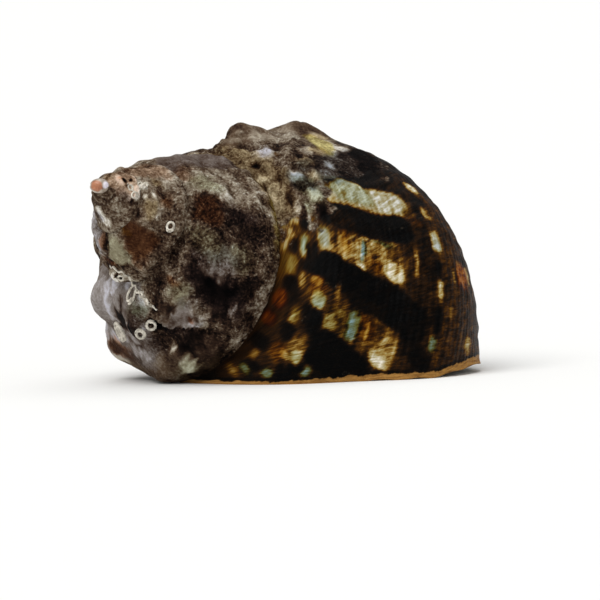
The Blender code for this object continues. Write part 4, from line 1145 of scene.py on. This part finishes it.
def shell_material(settings):
    """Sea-worn turban shell: dark porcellanous layer with cords and growth lines, under dull lime crust."""
    material, tree = empty_material("sea-worn turban shell")
    where = add_node(tree, "ShaderNodeTexCoord").outputs["Object"]
    grain, state, tones = [
        add_node(tree, "ShaderNodeAttribute", attribute_name=name).outputs["Vector"]
        for name in ("grain", "state", "tone")]
    lines, state, tones = [
        add_node(tree, "ShaderNodeSeparateXYZ", {0: vector}).outputs for vector in (grain, state, tones)]

    noise, part = {}, {}
    for name, stretch, scale, detail, roughness, twist in NOISES:
        at = where
        if stretch:
            at = add_node(
                tree, "ShaderNodeVectorMath", {0: grain, 1: stretch}, operation="MULTIPLY").outputs[0]
        noise[name] = add_node(
            tree, "ShaderNodeTexNoise",
            {"Vector": at, "Scale": scale, "Detail": detail, "Roughness": roughness, "Distortion": twist},
        ).outputs["Fac"]
        part[name] = add_node(
            tree, "ShaderNodeMath", {0: noise[name], 1: 0.5}, operation="SUBTRACT").outputs[0]
    turn = add_node(tree, "ShaderNodeMath", {0: lines["Z"], 1: float(TAU)}, operation="MULTIPLY")
    part["crest"] = add_node(tree, "ShaderNodeMath", {0: turn.outputs[0]}, operation="COSINE").outputs[0]
    part["chips"] = add_node(
        tree, "ShaderNodeMapRange",
        {"Value": noise["speck"], "From Min": 0.62, "From Max": 0.74, "To Max": 0.22}).outputs[0]

    # sums of the noises: what each starts from, and each part with its share
    sums = {}
    for name, total, shares in (
        ("bare", 0.0, (("cord", 0.8), ("streak", 0.75), ("blotch", 1.0), ("crest", 0.02))),
        ("crust", 0.0, (("mottle", 0.7), ("grit", 1.0), ("speck", 1.0), ("streak", 0.55), ("chips", 1.0))),
        ("edge", tones["Z"], (("mottle", 1.3), ("grit", 0.7))),
        ("ridges", LINE_HEIGHT / 2, (("crest", CORD_HEIGHT), ("streak", LINE_HEIGHT))),
    ):
        for source, share in shares:
            total = add_node(
                tree, "ShaderNodeMath", {0: part[source], 1: share, 2: total},
                operation="MULTIPLY_ADD").outputs[0]
        sums[name] = total

    # bare shell: the noises swing the tone, stronger where it is light and weaker near the upper seam
    swing = add_node(
        tree, "ShaderNodeMapRange", {"Value": tones["X"], "From Max": 0.5, "To Min": 0.24, "To Max": 1.0})
    beside = add_node(tree, "ShaderNodeMapRange", {"Value": lines["Z"], "From Max": 8.0, "To Min": 0.40})
    spread = add_node(
        tree, "ShaderNodeMath", {0: sums["bare"], 1: beside.outputs[0]}, operation="MULTIPLY")
    bare = add_node(
        tree, "ShaderNodeMath", {0: spread.outputs[0], 1: swing.outputs[0], 2: tones["X"]},
        operation="MULTIPLY_ADD")

    # crust: the noises again, quieter in smooth and in dark places, and painted light and shade from the
    # relief: lighter on its crests, darker in its pits
    rough = add_node(tree, "ShaderNodeMapRange", {"Value": state["Z"], "To Min": 0.78, "To Max": 0.32})
    quiet = add_node(
        tree, "ShaderNodeMapRange", {"Value": tones["Y"], "From Max": 0.30, "To Min": 0.30, "To Max": 1.0})
    rough = add_node(
        tree, "ShaderNodeMath", {0: rough.outputs[0], 1: quiet.outputs[0]}, operation="MULTIPLY")
    flat_tone = add_node(
        tree, "ShaderNodeMath", {0: sums["crust"], 1: rough.outputs[0], 2: tones["Y"]},
        operation="MULTIPLY_ADD")
    # painted light and shade: the relief height in state X raises the tone on crests and lowers it in pits
    crust = add_node(
        tree, "ShaderNodeMath", {0: state["X"], 1: 0.35, 2: flat_tone.outputs[0]},
        operation="MULTIPLY_ADD")

    layers = []
    for tone, stops in ((bare, BARE_STOPS), (crust, CRUST_STOPS)):
        ramp = add_node(tree, "ShaderNodeValToRGB", {0: tone.outputs[0]})
        elements = ramp.color_ramp.elements
        elements[0].position, elements[0].color = stops[0][0], linear(stops[0][1])
        elements[1].position, elements[1].color = stops[-1][0], linear(stops[-1][1])
        for position, colour in stops[1:-1]:
            elements.new(position).color = linear(colour)
        layers.append(ramp.outputs["Color"])
    cover = add_node(
        tree, "ShaderNodeMapRange", {"Value": sums["edge"], "From Min": 0.22, "From Max": 0.78},
        interpolation_type="SMOOTHSTEP")
    colour = add_node(
        tree, "ShaderNodeMix", {0: cover.outputs[0], 6: layers[0], 7: layers[1]},
        data_type="RGBA").outputs[2]

    # tints multiply the colour; the pearly base and the golden lip margin cover it
    masks = []
    for k, softness in enumerate([tint[2] for tint in TINTS] + [PEARL_SOFTNESS]):
        if k % 3 == 0:
            paint = add_node(tree, "ShaderNodeAttribute", attribute_name="tint %d" % (k // 3))
            paint = add_node(tree, "ShaderNodeSeparateXYZ", {0: paint.outputs["Vector"]}).outputs
        edge = add_node(
            tree, "ShaderNodeMath", {0: part["mottle"], 1: 2.5, 2: paint[k % 3]},
            operation="MULTIPLY_ADD")
        masks.append(add_node(
            tree, "ShaderNodeMapRange",
            {"Value": edge.outputs[0], "From Min": -softness / 2, "From Max": softness / 2},
            interpolation_type="SMOOTHSTEP").outputs[0])
    for mask, (_, tint, _, _) in zip(masks, TINTS):
        colour = add_node(
            tree, "ShaderNodeMix", {0: mask, 6: colour, 7: linear(tint)},
            data_type="RGBA", blend_type="MULTIPLY").outputs[2]
    lip_tone = add_node(
        tree, "ShaderNodeMapRange", {"Value": noise["streak"], "From Min": 0.3, "From Max": 0.7})
    lip_edge = add_node(
        tree, "ShaderNodeMath", {0: part["cord"], 1: 1.2, 2: state["Y"]}, operation="MULTIPLY_ADD")
    lip_mask = add_node(
        tree, "ShaderNodeMapRange", {"Value": lip_edge.outputs[0], "From Min": -0.10, "From Max": 0.10},
        interpolation_type="SMOOTHSTEP")
    for mask, level, dark, light in (
        (masks[-1], noise["streak"], "#8d877e", "#e4dfd6"),
        (lip_mask.outputs[0], lip_tone.outputs[0], settings.lip_shade, settings.lip_light),
    ):
        paint = add_node(
            tree, "ShaderNodeMix", {0: level, 6: linear(dark), 7: linear(light)}, data_type="RGBA")
        colour = add_node(
            tree, "ShaderNodeMix", {0: mask, 6: colour, 7: paint.outputs[2]}, data_type="RGBA").outputs[2]

    # fine relief: cords and growth lines on the bare shell, grains at half their height in the crust
    grains = add_node(
        tree, "ShaderNodeMath", {0: sums["crust"], 1: rough.outputs[0]}, operation="MULTIPLY")
    grains = add_node(tree, "ShaderNodeMath", {0: grains.outputs[0], 1: 0.5}, operation="MULTIPLY")
    height = add_node(
        tree, "ShaderNodeMix", {0: cover.outputs[0], 2: sums["ridges"], 3: grains.outputs[0]},
        data_type="FLOAT")
    bump = add_node(
        tree, "ShaderNodeBump", {"Strength": 1.0, "Distance": MM, "Height": height.outputs[0]})
    roughness = add_node(
        tree, "ShaderNodeMapRange", {"Value": cover.outputs[0], "To Min": 0.42, "To Max": 0.82})
    surface = add_node(
        tree, "ShaderNodeBsdfPrincipled",
        {"Base Color": colour, "Roughness": roughness.outputs[0], "Normal": bump.outputs[0],
         "Specular IOR Level": 0.04})
    add_node(tree, "ShaderNodeOutputMaterial", {"Surface": surface.outputs[0]})
    return material


def pearl_material(settings):
    """Mother-of-pearl: smooth, silvery, with weak pink and green clouds under a clear gloss."""
    material, tree = empty_material("mother-of-pearl")
    where = add_node(tree, "ShaderNodeTexCoord").outputs["Object"]
    cloud = add_node(
        tree, "ShaderNodeTexNoise", {"Vector": where, "Scale": 160.0, "Detail": 2.0, "Distortion": 1.2})
    tint = add_node(
        tree, "ShaderNodeMapRange", {"Value": cloud.outputs["Fac"], "From Min": 0.35, "From Max": 0.65})
    clouds = add_node(
        tree, "ShaderNodeMix", {0: tint.outputs[0], 6: linear("#b9cfc6"), 7: linear("#dcc3c6")},
        data_type="RGBA")
    colour = add_node(
        tree, "ShaderNodeMix", {0: 0.35, 6: linear(settings.pearl), 7: clouds.outputs[2]}, data_type="RGBA")
    surface = add_node(
        tree, "ShaderNodeBsdfPrincipled",
        {"Base Color": colour.outputs[2], "Roughness": 0.22, "Metallic": 0.25, "Coat Weight": 0.4,
         "Coat Roughness": 0.1})
    add_node(tree, "ShaderNodeOutputMaterial", {"Surface": surface.outputs[0]})
    return material


TIP = (-25.75, -21.75, 29.1)   # centre of the ball of first whorls, mm
# Lime tubes of worms: angle, place across the turn, radii of coil and tube in mm, turns, start, stretch.
TUBES = (
    (-792, 0.71, 0.58, 0.17, 1.3, 40, 1.3), (-707.4, 0.827, 0.50, 0.15, 1.1, 200, 1.0),
    (-328.8, 0.494, 1.05, 0.28, 1.35, 120, 1.5), (-357, 0.38, 0.72, 0.21, 2.2, 10, 1.35),
    (-364, 0.36, 0.74, 0.21, 1.2, 250, 1.0), (-353, 0.09, 0.74, 0.20, 1.2, 80, 1.9),
    (-1188, 0.62, 0.44, 0.10, 1.1, 60, 1.0), (-1170, 0.76, 0.46, 0.11, 1.2, 150, 1.2),
    (-832, 0.11, 0.42, 0.11, 1.2, 200, 1.3), (-838, 0.03, 0.36, 0.10, 1.1, 20, 1.3),
    (-620, 0.55, 0.60, 0.19, 1.3, 150, 1.0), (-598, 0.40, 0.50, 0.17, 1.2, 30, 1.2),
    (-262, 0.35, 0.80, 0.22, 1.4, 210, 1.0),
)
# Creeping tubes, each as its tube radius in mm and its seats (angle, place across the turn).
CREEPERS = (
    (0.18, ((-692, 0.64), (-702, 0.67), (-710, 0.73), (-716, 0.79), (-353, 0.012),
            (-360, 0.07), (-366, 0.125), (-369, 0.17), (-372, 0.22), (-375, 0.26))),
    (0.13, ((-358, 0.03), (-363, 0.08), (-367, 0.14), (-371, 0.18))),
    (0.09, ((-1200, 0.50), (-1190, 0.66), (-1176, 0.74), (-1168, 0.86), (-830, 0.03), (-826, 0.10))),
)


def coiled_tube(at, out, coil, tube, turns, start, stretch):
    """Rings of a tube on a flat spiral that tightens inward and climbs; its girth narrows at both ends."""
    side = unit(np.cross(out, (0.3, 0.2, 1.0)))
    up = np.cross(out, side)
    along = np.linspace(0, 1, 56)[:, None, None]
    around = np.linspace(0, TAU, 12, endpoint=False)[None, :, None]
    angle = np.radians(start) + TAU * turns * along
    away = np.cos(angle) * side + np.sin(angle) * up
    reach = np.cos(angle) * side + np.sin(angle) * up * stretch
    centre = at + out * tube * (0.2 + 1.0 * along) + reach * coil * (1 - 0.30 * along)
    girth = tube * (0.3 + 0.7 * np.sqrt(1 - abs(2 * along - 1) ** 12)) * (1 + 0.08 * np.sin(along * 90))
    return centre + girth * (np.cos(around) * away + np.sin(around) * out)


def creeping_tube(seats, tube):
    """Rings of a thin tube that creeps from seat to seat with a small zigzag and a swelling girth."""
    at = np.array([seat[0] for seat in seats])
    out = np.array([seat[1] for seat in seats])
    along = np.linspace(0, len(seats) - 1, 14 * len(seats))
    spine = np.stack([np.interp(along, range(len(seats)), at[:, k]) for k in range(3)], -1)
    rise = unit(np.stack([np.interp(along, range(len(seats)), out[:, k]) for k in range(3)], -1))
    ahead = unit(np.gradient(spine, axis=0))
    side = unit(np.cross(ahead, rise))
    spine += side * (tube * 1.2 * np.sin(along * 5.2))[:, None] + rise * (0.5 * tube)
    around = np.linspace(0, TAU, 10, endpoint=False)[None, :, None]
    ends = 1 - abs(2 * along / along[-1] - 1) ** 14
    girth = (tube * (0.25 + 0.75 * ends) * (1 + 0.25 * np.sin(along * 7.9)))[:, None, None]
    return spine[:, None] + girth * (np.cos(around) * rise[:, None] - np.sin(around) * side[:, None])


def first_whorls(centre, half_sizes):
    """Rings of a small ball, from pole to pole, with a shallow groove that winds once round it."""
    down = np.linspace(0.06, np.pi - 0.06, 30)[:, None, None]
    east = np.linspace(0, TAU, 40, endpoint=False)[None, :, None]
    groove = bell(np.mod(down - east * 0.16 - 0.9 + np.pi / 2, np.pi) - np.pi / 2, 0, 0.16)
    away = [np.sin(down) * np.cos(east), np.sin(down) * np.sin(east), np.cos(down) + 0 * east]
    away = np.concatenate(away, -1)
    return centre + np.array(half_sizes) * away * (1 - 0.07 * groove)


def ringed_piece(name, bands):
    """One piece from bands of rings: square cells between the rings, and a flat face at each end."""
    numbers, widths, first = [], [], 0
    for rings in bands:
        rows, columns = rings.shape[:2]
        ring = np.arange(columns)
        i = np.arange(rows - 1)[:, None] * columns + first
        following = np.roll(ring, -1)
        cells = np.stack([i + ring, i + columns + ring, i + columns + following, i + following], -1)
        last = first + (rows - 1) * columns
        numbers += [cells.ravel(), first + ring, (last + ring)[::-1]]
        widths += [np.full((rows - 1) * columns, 4), [columns, columns]]
        first += rows * columns
    points = np.concatenate([rings.reshape(-1, 3) for rings in bands])
    return new_mesh(name, points * MM, np.concatenate(numbers), np.concatenate(widths))


def lime_material(settings):
    """Worm-tube lime: chalky off-white, dull, with fine growth rings and grey stains."""
    material, tree = empty_material("worm-tube lime")
    where = add_node(tree, "ShaderNodeTexCoord").outputs["Object"]
    stain = add_node(
        tree, "ShaderNodeTexNoise", {"Vector": where, "Scale": 1500.0, "Detail": 4.0, "Roughness": 0.7})
    level = add_node(
        tree, "ShaderNodeMapRange", {"Value": stain.outputs["Fac"], "From Min": 0.35, "From Max": 0.60})
    colour = add_node(
        tree, "ShaderNodeMix", {0: level.outputs[0], 6: linear("#8b8478"), 7: linear(settings.lime)},
        data_type="RGBA")
    bump = add_node(
        tree, "ShaderNodeBump", {"Strength": 0.6, "Distance": 0.1 * MM, "Height": stain.outputs["Fac"]})
    surface = add_node(
        tree, "ShaderNodeBsdfPrincipled",
        {"Base Color": colour.outputs[2], "Roughness": 0.7, "Normal": bump.outputs[0],
         "Specular IOR Level": 0.2})
    add_node(tree, "ShaderNodeOutputMaterial", {"Surface": surface.outputs[0]})
    return material


def tip_material(settings):
    """Bare first whorls: smooth porcelain-like shell, orange on one side and lilac white on the other."""
    material, tree = empty_material("bare first whorls")
    where = add_node(tree, "ShaderNodeTexCoord").outputs["Object"]
    grain = add_node(
        tree, "ShaderNodeTexNoise", {"Vector": where, "Scale": 1300.0, "Detail": 4.0, "Roughness": 0.65})
    level = add_node(
        tree, "ShaderNodeMapRange", {"Value": grain.outputs["Fac"], "From Min": 0.3, "From Max": 0.7})
    colour = add_node(
        tree, "ShaderNodeMix", {0: level.outputs[0], 6: linear("#6e5f50"), 7: linear("#c6b8a8")},
        data_type="RGBA").outputs[2]
    # spots: offset from the centre and reach in mm, shade, light
    spots = (
        ((-0.45, -1.0, 0.05), 0.86, "#8a5234", settings.tip_orange),
        ((0.95, -0.75, 0.15), 0.50, "#c9bfd0", "#fbf6fb"),
    )
    for offset, reach, shade, light in spots:
        heart = tuple((TIP[k] + offset[k]) * MM for k in range(3))
        away = add_node(tree, "ShaderNodeVectorMath", {0: where, 1: heart}, operation="DISTANCE")
        ragged = add_node(
            tree, "ShaderNodeMath", {0: grain.outputs["Fac"], 1: 0.5 * MM, 2: away.outputs["Value"]},
            operation="MULTIPLY_ADD")
        mask = add_node(
            tree, "ShaderNodeMapRange",
            {"Value": ragged.outputs[0], "From Min": (reach + 0.35) * MM, "From Max": (reach + 0.15) * MM})
        spot = add_node(
            tree, "ShaderNodeMix", {0: level.outputs[0], 6: linear(shade), 7: linear(light)},
            data_type="RGBA")
        colour = add_node(
            tree, "ShaderNodeMix", {0: mask.outputs[0], 6: colour, 7: spot.outputs[2]},
            data_type="RGBA").outputs[2]
    bump = add_node(
        tree, "ShaderNodeBump", {"Strength": 0.5, "Distance": 0.1 * MM, "Height": grain.outputs["Fac"]})
    surface = add_node(
        tree, "ShaderNodeBsdfPrincipled",
        {"Base Color": colour, "Roughness": 0.38, "Normal": bump.outputs[0]})
    add_node(tree, "ShaderNodeOutputMaterial", {"Surface": surface.outputs[0]})
    return material


def shell_foothold(swell, seats):
    """Points on the finished shell, mm, and directions out of it, for pairs of an angle and a place."""
    weave = weave_shell(swell)
    turns, places = np.concatenate(weave.turns), np.concatenate(weave.places)
    vertices = bpy.data.objects["shell_surface"].data.vertices
    found = [vertices[int((abs(turns - np.radians(a)) + abs(places - b)).argmin())] for a, b in seats]
    return [(np.array(v.co) / MM, np.array(v.normal)) for v in found]


class TurbanShellSettings(bpy.types.PropertyGroup):
    """Sizes and colours of the shell that can be changed."""

    knob_swell: bpy.props.FloatProperty(
        name="Knob height", description="Knob height as a share of the distance to the tip",
        default=0.110, min=0.0, max=0.2, subtype="FACTOR")
    lump_height: bpy.props.FloatProperty(
        name="Crust lumps", description="Height of the crust lumps against a lump of half a millimetre",
        default=1.0, min=0.0, max=2.0, subtype="FACTOR")
    lip_lift: bpy.props.FloatProperty(
        name="Lip corner", description="Millimetres that the far corner of the lip stands above the floor",
        default=1.1, min=0.0, max=2.0)
    lip_shade: bpy.props.StringProperty(
        name="Lip, shade", description="Darker tan of the lip margin", default="#6b441c")
    lip_light: bpy.props.StringProperty(
        name="Lip, light", description="Golden tan of the lip margin", default="#c08f4c")
    pearl: bpy.props.StringProperty(
        name="Mother-of-pearl", description="Silvery colour inside the mouth", default="#d8d6cf")
    tube_scale: bpy.props.FloatProperty(
        name="Worm tubes", description="Size of the coiled worm tubes against their usual 1.5 mm",
        default=1.0, min=0.3, max=2.0, subtype="FACTOR")
    lime: bpy.props.StringProperty(
        name="Tube lime", description="Off-white of the worm tubes", default="#e3dccd")
    tip_width: bpy.props.FloatProperty(
        name="First whorls", description="Width of the ball of first whorls at the tip",
        default=0.0028, min=0.001, max=0.004, unit="LENGTH")
    tip_orange: bpy.props.StringProperty(
        name="Tip orange", description="Orange of the bare first whorls", default="#c58560")
    floor_colour: bpy.props.StringProperty(
        name="Floor", description="Colour of the plain floor", default="#f4f4f2")


class TURBAN_OT_shell(bpy.types.Operator):
    """Build the shell with its crust, painted flames, lip and mother-of-pearl"""

    bl_idname = "turban.shell"
    bl_label = "Shell"

    def execute(self, context):
        settings = context.scene.turban_shell
        piece = build_shell(settings)
        piece.data.materials.append(shell_material(settings))
        piece.data.materials.append(pearl_material(settings))
        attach(piece, "root")
        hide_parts("shell")
        return {"FINISHED"}


class TURBAN_OT_first_whorls(bpy.types.Operator):
    """Build the small bare ball of first whorls at the tip of the spire"""

    bl_idname = "turban.first_whorls"
    bl_label = "First whorls"

    def execute(self, context):
        settings = context.scene.turban_shell
        size = settings.tip_width / MM / 2
        piece = ringed_piece("first_whorls", [first_whorls(np.array(TIP), (size, 0.8 * size, 0.76 * size))])
        piece.data.materials.append(tip_material(settings))
        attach(piece, "root")
        return {"FINISHED"}


class TURBAN_OT_worm_tubes(bpy.types.Operator):
    """Build the small coiled lime tubes that worms left on the shell"""

    bl_idname = "turban.worm_tubes"
    bl_label = "Worm tubes"

    def execute(self, context):
        settings = context.scene.turban_shell
        wanted = [tube[:2] for tube in TUBES] + [seat for _, path in CREEPERS for seat in path]
        seats = iter(shell_foothold(settings.knob_swell, wanted))
        scale = settings.tube_scale
        bands = [
            coiled_tube(at, out, coil * scale, girth * scale, turns, start, stretch)
            for (_, _, coil, girth, turns, start, stretch), (at, out) in zip(TUBES, seats)
        ]
        bands += [creeping_tube([next(seats) for _ in path], girth * scale) for girth, path in CREEPERS]
        piece = ringed_piece("worm_tubes", bands)
        piece.data.materials.append(lime_material(settings))
        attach(piece, "root")
        return {"FINISHED"}


def soft_light(name, toward, strength, width):
    """Large soft light far away in one direction, as from a studio ceiling; width in degrees."""
    data = bpy.data.lights.new(name, "SUN")
    data.energy = strength
    data.angle = np.radians(width)
    light = bpy.data.objects.new(name, data)
    light.rotation_euler = Vector(toward).to_track_quat("Z", "Y").to_euler()
    bpy.context.scene.collection.objects.link(light)


class TURBAN_OT_stage(bpy.types.Operator):
    """Lay the floor and set the lights and the camera"""

    bl_idname = "turban.stage"
    bl_label = "Stage"

    def execute(self, context):
        settings = context.scene.turban_shell
        corners = FLOOR_REACH * np.array([[-1, -1, 0], [1, -1, 0], [1, 1, 0], [-1, 1, 0]], float)
        floor = new_mesh("floor", corners, np.arange(4), np.array([4]))
        material = bpy.data.materials.new("matt paper")
        material.use_nodes = True
        surface = material.node_tree.nodes["Principled BSDF"]
        surface.inputs["Base Color"].default_value = linear(settings.floor_colour)
        surface.inputs["Roughness"].default_value = 0.9
        surface.inputs["Specular IOR Level"].default_value = 0.1
        floor.data.materials.append(material)
        world = bpy.data.worlds.new("studio")
        world.use_nodes = True
        background = world.node_tree.nodes["Background"]
        background.inputs["Color"].default_value = linear("#ffffff")
        background.inputs["Strength"].default_value = 0.35
        context.scene.world = world
        context.scene.view_settings.view_transform = "Standard"
        soft_light("key", (-0.35, -0.55, 1.0), 2.3, 50.0)
        soft_light("top", (0.15, 0.25, 1.0), 0.6, 60.0)
        self.camera(context)
        return {"FINISHED"}

    def camera(self, context):
        """Long lens, a little above the floor, rolled slightly."""
        rise = np.radians(CAMERA_RISE)
        roll = np.radians(CAMERA_ROLL)
        forward = Vector((0.0, np.cos(rise), -np.sin(rise)))
        right = Vector((1.0, 0.0, 0.0))
        up = Vector((0.0, np.sin(rise), np.cos(rise)))
        side = right * np.cos(roll) - up * np.sin(roll)
        top = right * np.sin(roll) + up * np.cos(roll)
        data = bpy.data.cameras.new("camera")
        data.sensor_width = SENSOR
        data.lens = SENSOR * CAMERA_AWAY / VIEW_WIDTH
        data.clip_start = 0.05
        data.clip_end = 40.0
        camera = bpy.data.objects.new("camera", data)
        camera.matrix_world = Matrix((side, top, -forward)).transposed().to_4x4()
        camera.location = side * VIEW_RIGHT + top * VIEW_UP - forward * CAMERA_AWAY
        context.scene.collection.objects.link(camera)
        context.scene.camera = camera


class TURBAN_PT_panel(bpy.types.Panel):
    """Lists the pieces of the shell"""

    bl_idname = "TURBAN_PT_panel"
    bl_label = "Turban shell"
    bl_space_type = "VIEW_3D"
    bl_region_type = "UI"
    bl_category = "Shell"

    def draw(self, context):
        layout = self.layout
        settings = context.scene.turban_shell
        for name in settings.bl_rna.properties.keys():
            if name not in {"rna_type", "name"}:
                layout.prop(settings, name)
        for operator in (TURBAN_OT_shell, TURBAN_OT_first_whorls, TURBAN_OT_worm_tubes, TURBAN_OT_stage):
            layout.operator(operator.bl_idname)


CLASSES = (
    TurbanShellSettings, TURBAN_OT_shell, TURBAN_OT_first_whorls, TURBAN_OT_worm_tubes, TURBAN_OT_stage,
    TURBAN_PT_panel,
)


def register():
    """Adds the settings, the operators and the panel to Blender."""
    for item in CLASSES:
        bpy.utils.register_class(item)
    bpy.types.Scene.turban_shell = bpy.props.PointerProperty(type=TurbanShellSettings)


def unregister():
    """Takes them out again."""
    del bpy.types.Scene.turban_shell
    for item in reversed(CLASSES):
        bpy.utils.unregister_class(item)


def main():
    """Builds the pieces and the stage in order."""
    register()
    bpy.ops.turban.shell()
    bpy.ops.turban.first_whorls()
    bpy.ops.turban.worm_tubes()
    bpy.ops.turban.stage()


if __name__ == "__main__":
    main()
